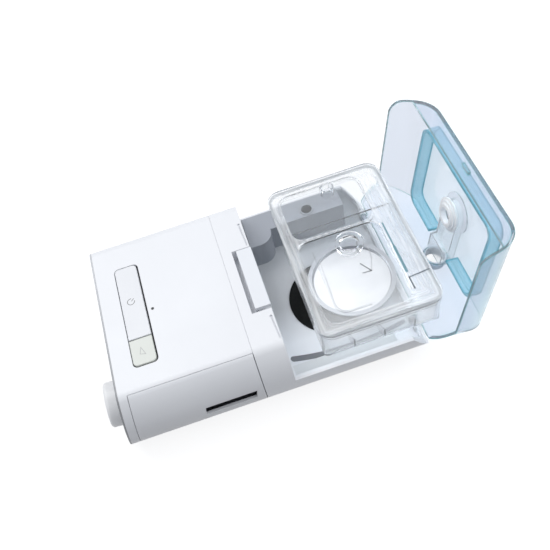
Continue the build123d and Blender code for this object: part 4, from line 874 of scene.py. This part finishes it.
def line_mark(name, rows, height, width, material):
    """Thin bars laid end to end along rows of points, joined and put on the tank cover."""
    bars = []
    for row in rows:
        for start, end in zip(row, row[1:]):
            start, end = Vector(start), Vector(end)
            reach = end - start
            bpy.ops.mesh.primitive_cube_add(
                size=1.0, location=(*((start + end) / 2.0), height),
                rotation=(0.0, 0.0, math.atan2(reach.y, reach.x)),
            )
            bars.append(bpy.context.object)
            bars[-1].scale = (reach.length + BAR_OVERLAP * width, width, INK_HEIGHT)
    bpy.ops.object.select_all(action="DESELECT")
    for bar in bars:
        bar.select_set(True)
    mark = bars[0]
    bpy.context.view_layer.objects.active = mark
    if len(bars) > 1:
        bpy.ops.object.join()
    mark.name = name
    place_in_mesh(mark)
    mark.data.materials.append(material)
    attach(mark, "tank_cover")


print("panel floor at", round(panel_floor, 5))

# %% Lines on the tank cover
BEAD_START = (0.0722, -0.0040)
BEAD_CORNER = Vector((0.0808, -0.0550))
BEAD_END = (0.1010, -0.0662)
BEAD_RADIUS = 0.0110
BEAD_STEPS = 8
ARROW_SHAFT = (
    (0.1142, -0.0010), (0.1169, -0.0064), (0.1174, -0.0139), (0.1163, -0.0218), (0.1116, -0.0345),
)
ARROW_BARBS = ((0.1049, -0.0236), (0.1116, -0.0345), (0.1035, -0.0340))
ARROW_TAIL = ((0.1106, 0.0006), (0.1071, -0.0108))
# Painted shade: the teal line and the wider teal band stand for the shade along the panel's rear
# wall.
TEAL_SHADE_LINE = ((0.1391, 0.0100), (0.1391, -0.0180))
TEAL_SHADE_BAND = ((0.1391, -0.0190), (0.1391, -0.0480))
DARK_CORNER = ((0.1580, -0.0530), (0.1386, -0.0546), (0.1388, -0.0672))
bead = [BEAD_START]
for step in range(BEAD_STEPS + 1):
    angle = math.radians(180.0 + 90.0 * step / BEAD_STEPS)
    bead.append(BEAD_CORNER + BEAD_RADIUS * Vector((math.cos(angle), math.sin(angle))))
bead.append(BEAD_END)

bead_grey = moulded_plastic("bead_grey", (0.48, 0.49, 0.51), (0.54, 0.55, 0.57), 0.4)
arrow_grey = moulded_plastic("arrow_grey", (0.22, 0.23, 0.24), (0.26, 0.27, 0.28), 0.5)
teal_painted_shade = moulded_plastic("teal_painted_shade", (0.15, 0.29, 0.34), (0.20, 0.34, 0.39), 0.3)
corner_grey = moulded_plastic("corner_grey", (0.10, 0.12, 0.14), (0.14, 0.16, 0.18), 0.5)
line_mark("cover_bead", (bead,), panel_floor, 0.0005, bead_grey)
line_mark("turn_arrow", (ARROW_BARBS, ARROW_TAIL), panel_floor, 0.0011, arrow_grey)
line_mark("turn_arrow_shaft", (ARROW_SHAFT,), panel_floor, 0.0007, bead_grey)
# The teal line and band are painted shade.
line_mark("cover_teal_shade_line", (TEAL_SHADE_LINE,), rim_line, 0.0014, teal_painted_shade)
line_mark("cover_teal_shade_band", (TEAL_SHADE_BAND,), rim_line, 0.0026, teal_painted_shade)
line_mark("cover_corner_line", (DARK_CORNER,), rim_line, 0.0012, corner_grey)
print("lines on the cover made")

# %% Parts still without a finish, and the end
for name, node in nodes.items():
    if not node.data.materials or node.data.materials[0] is None:
        print("no finish yet:", name)
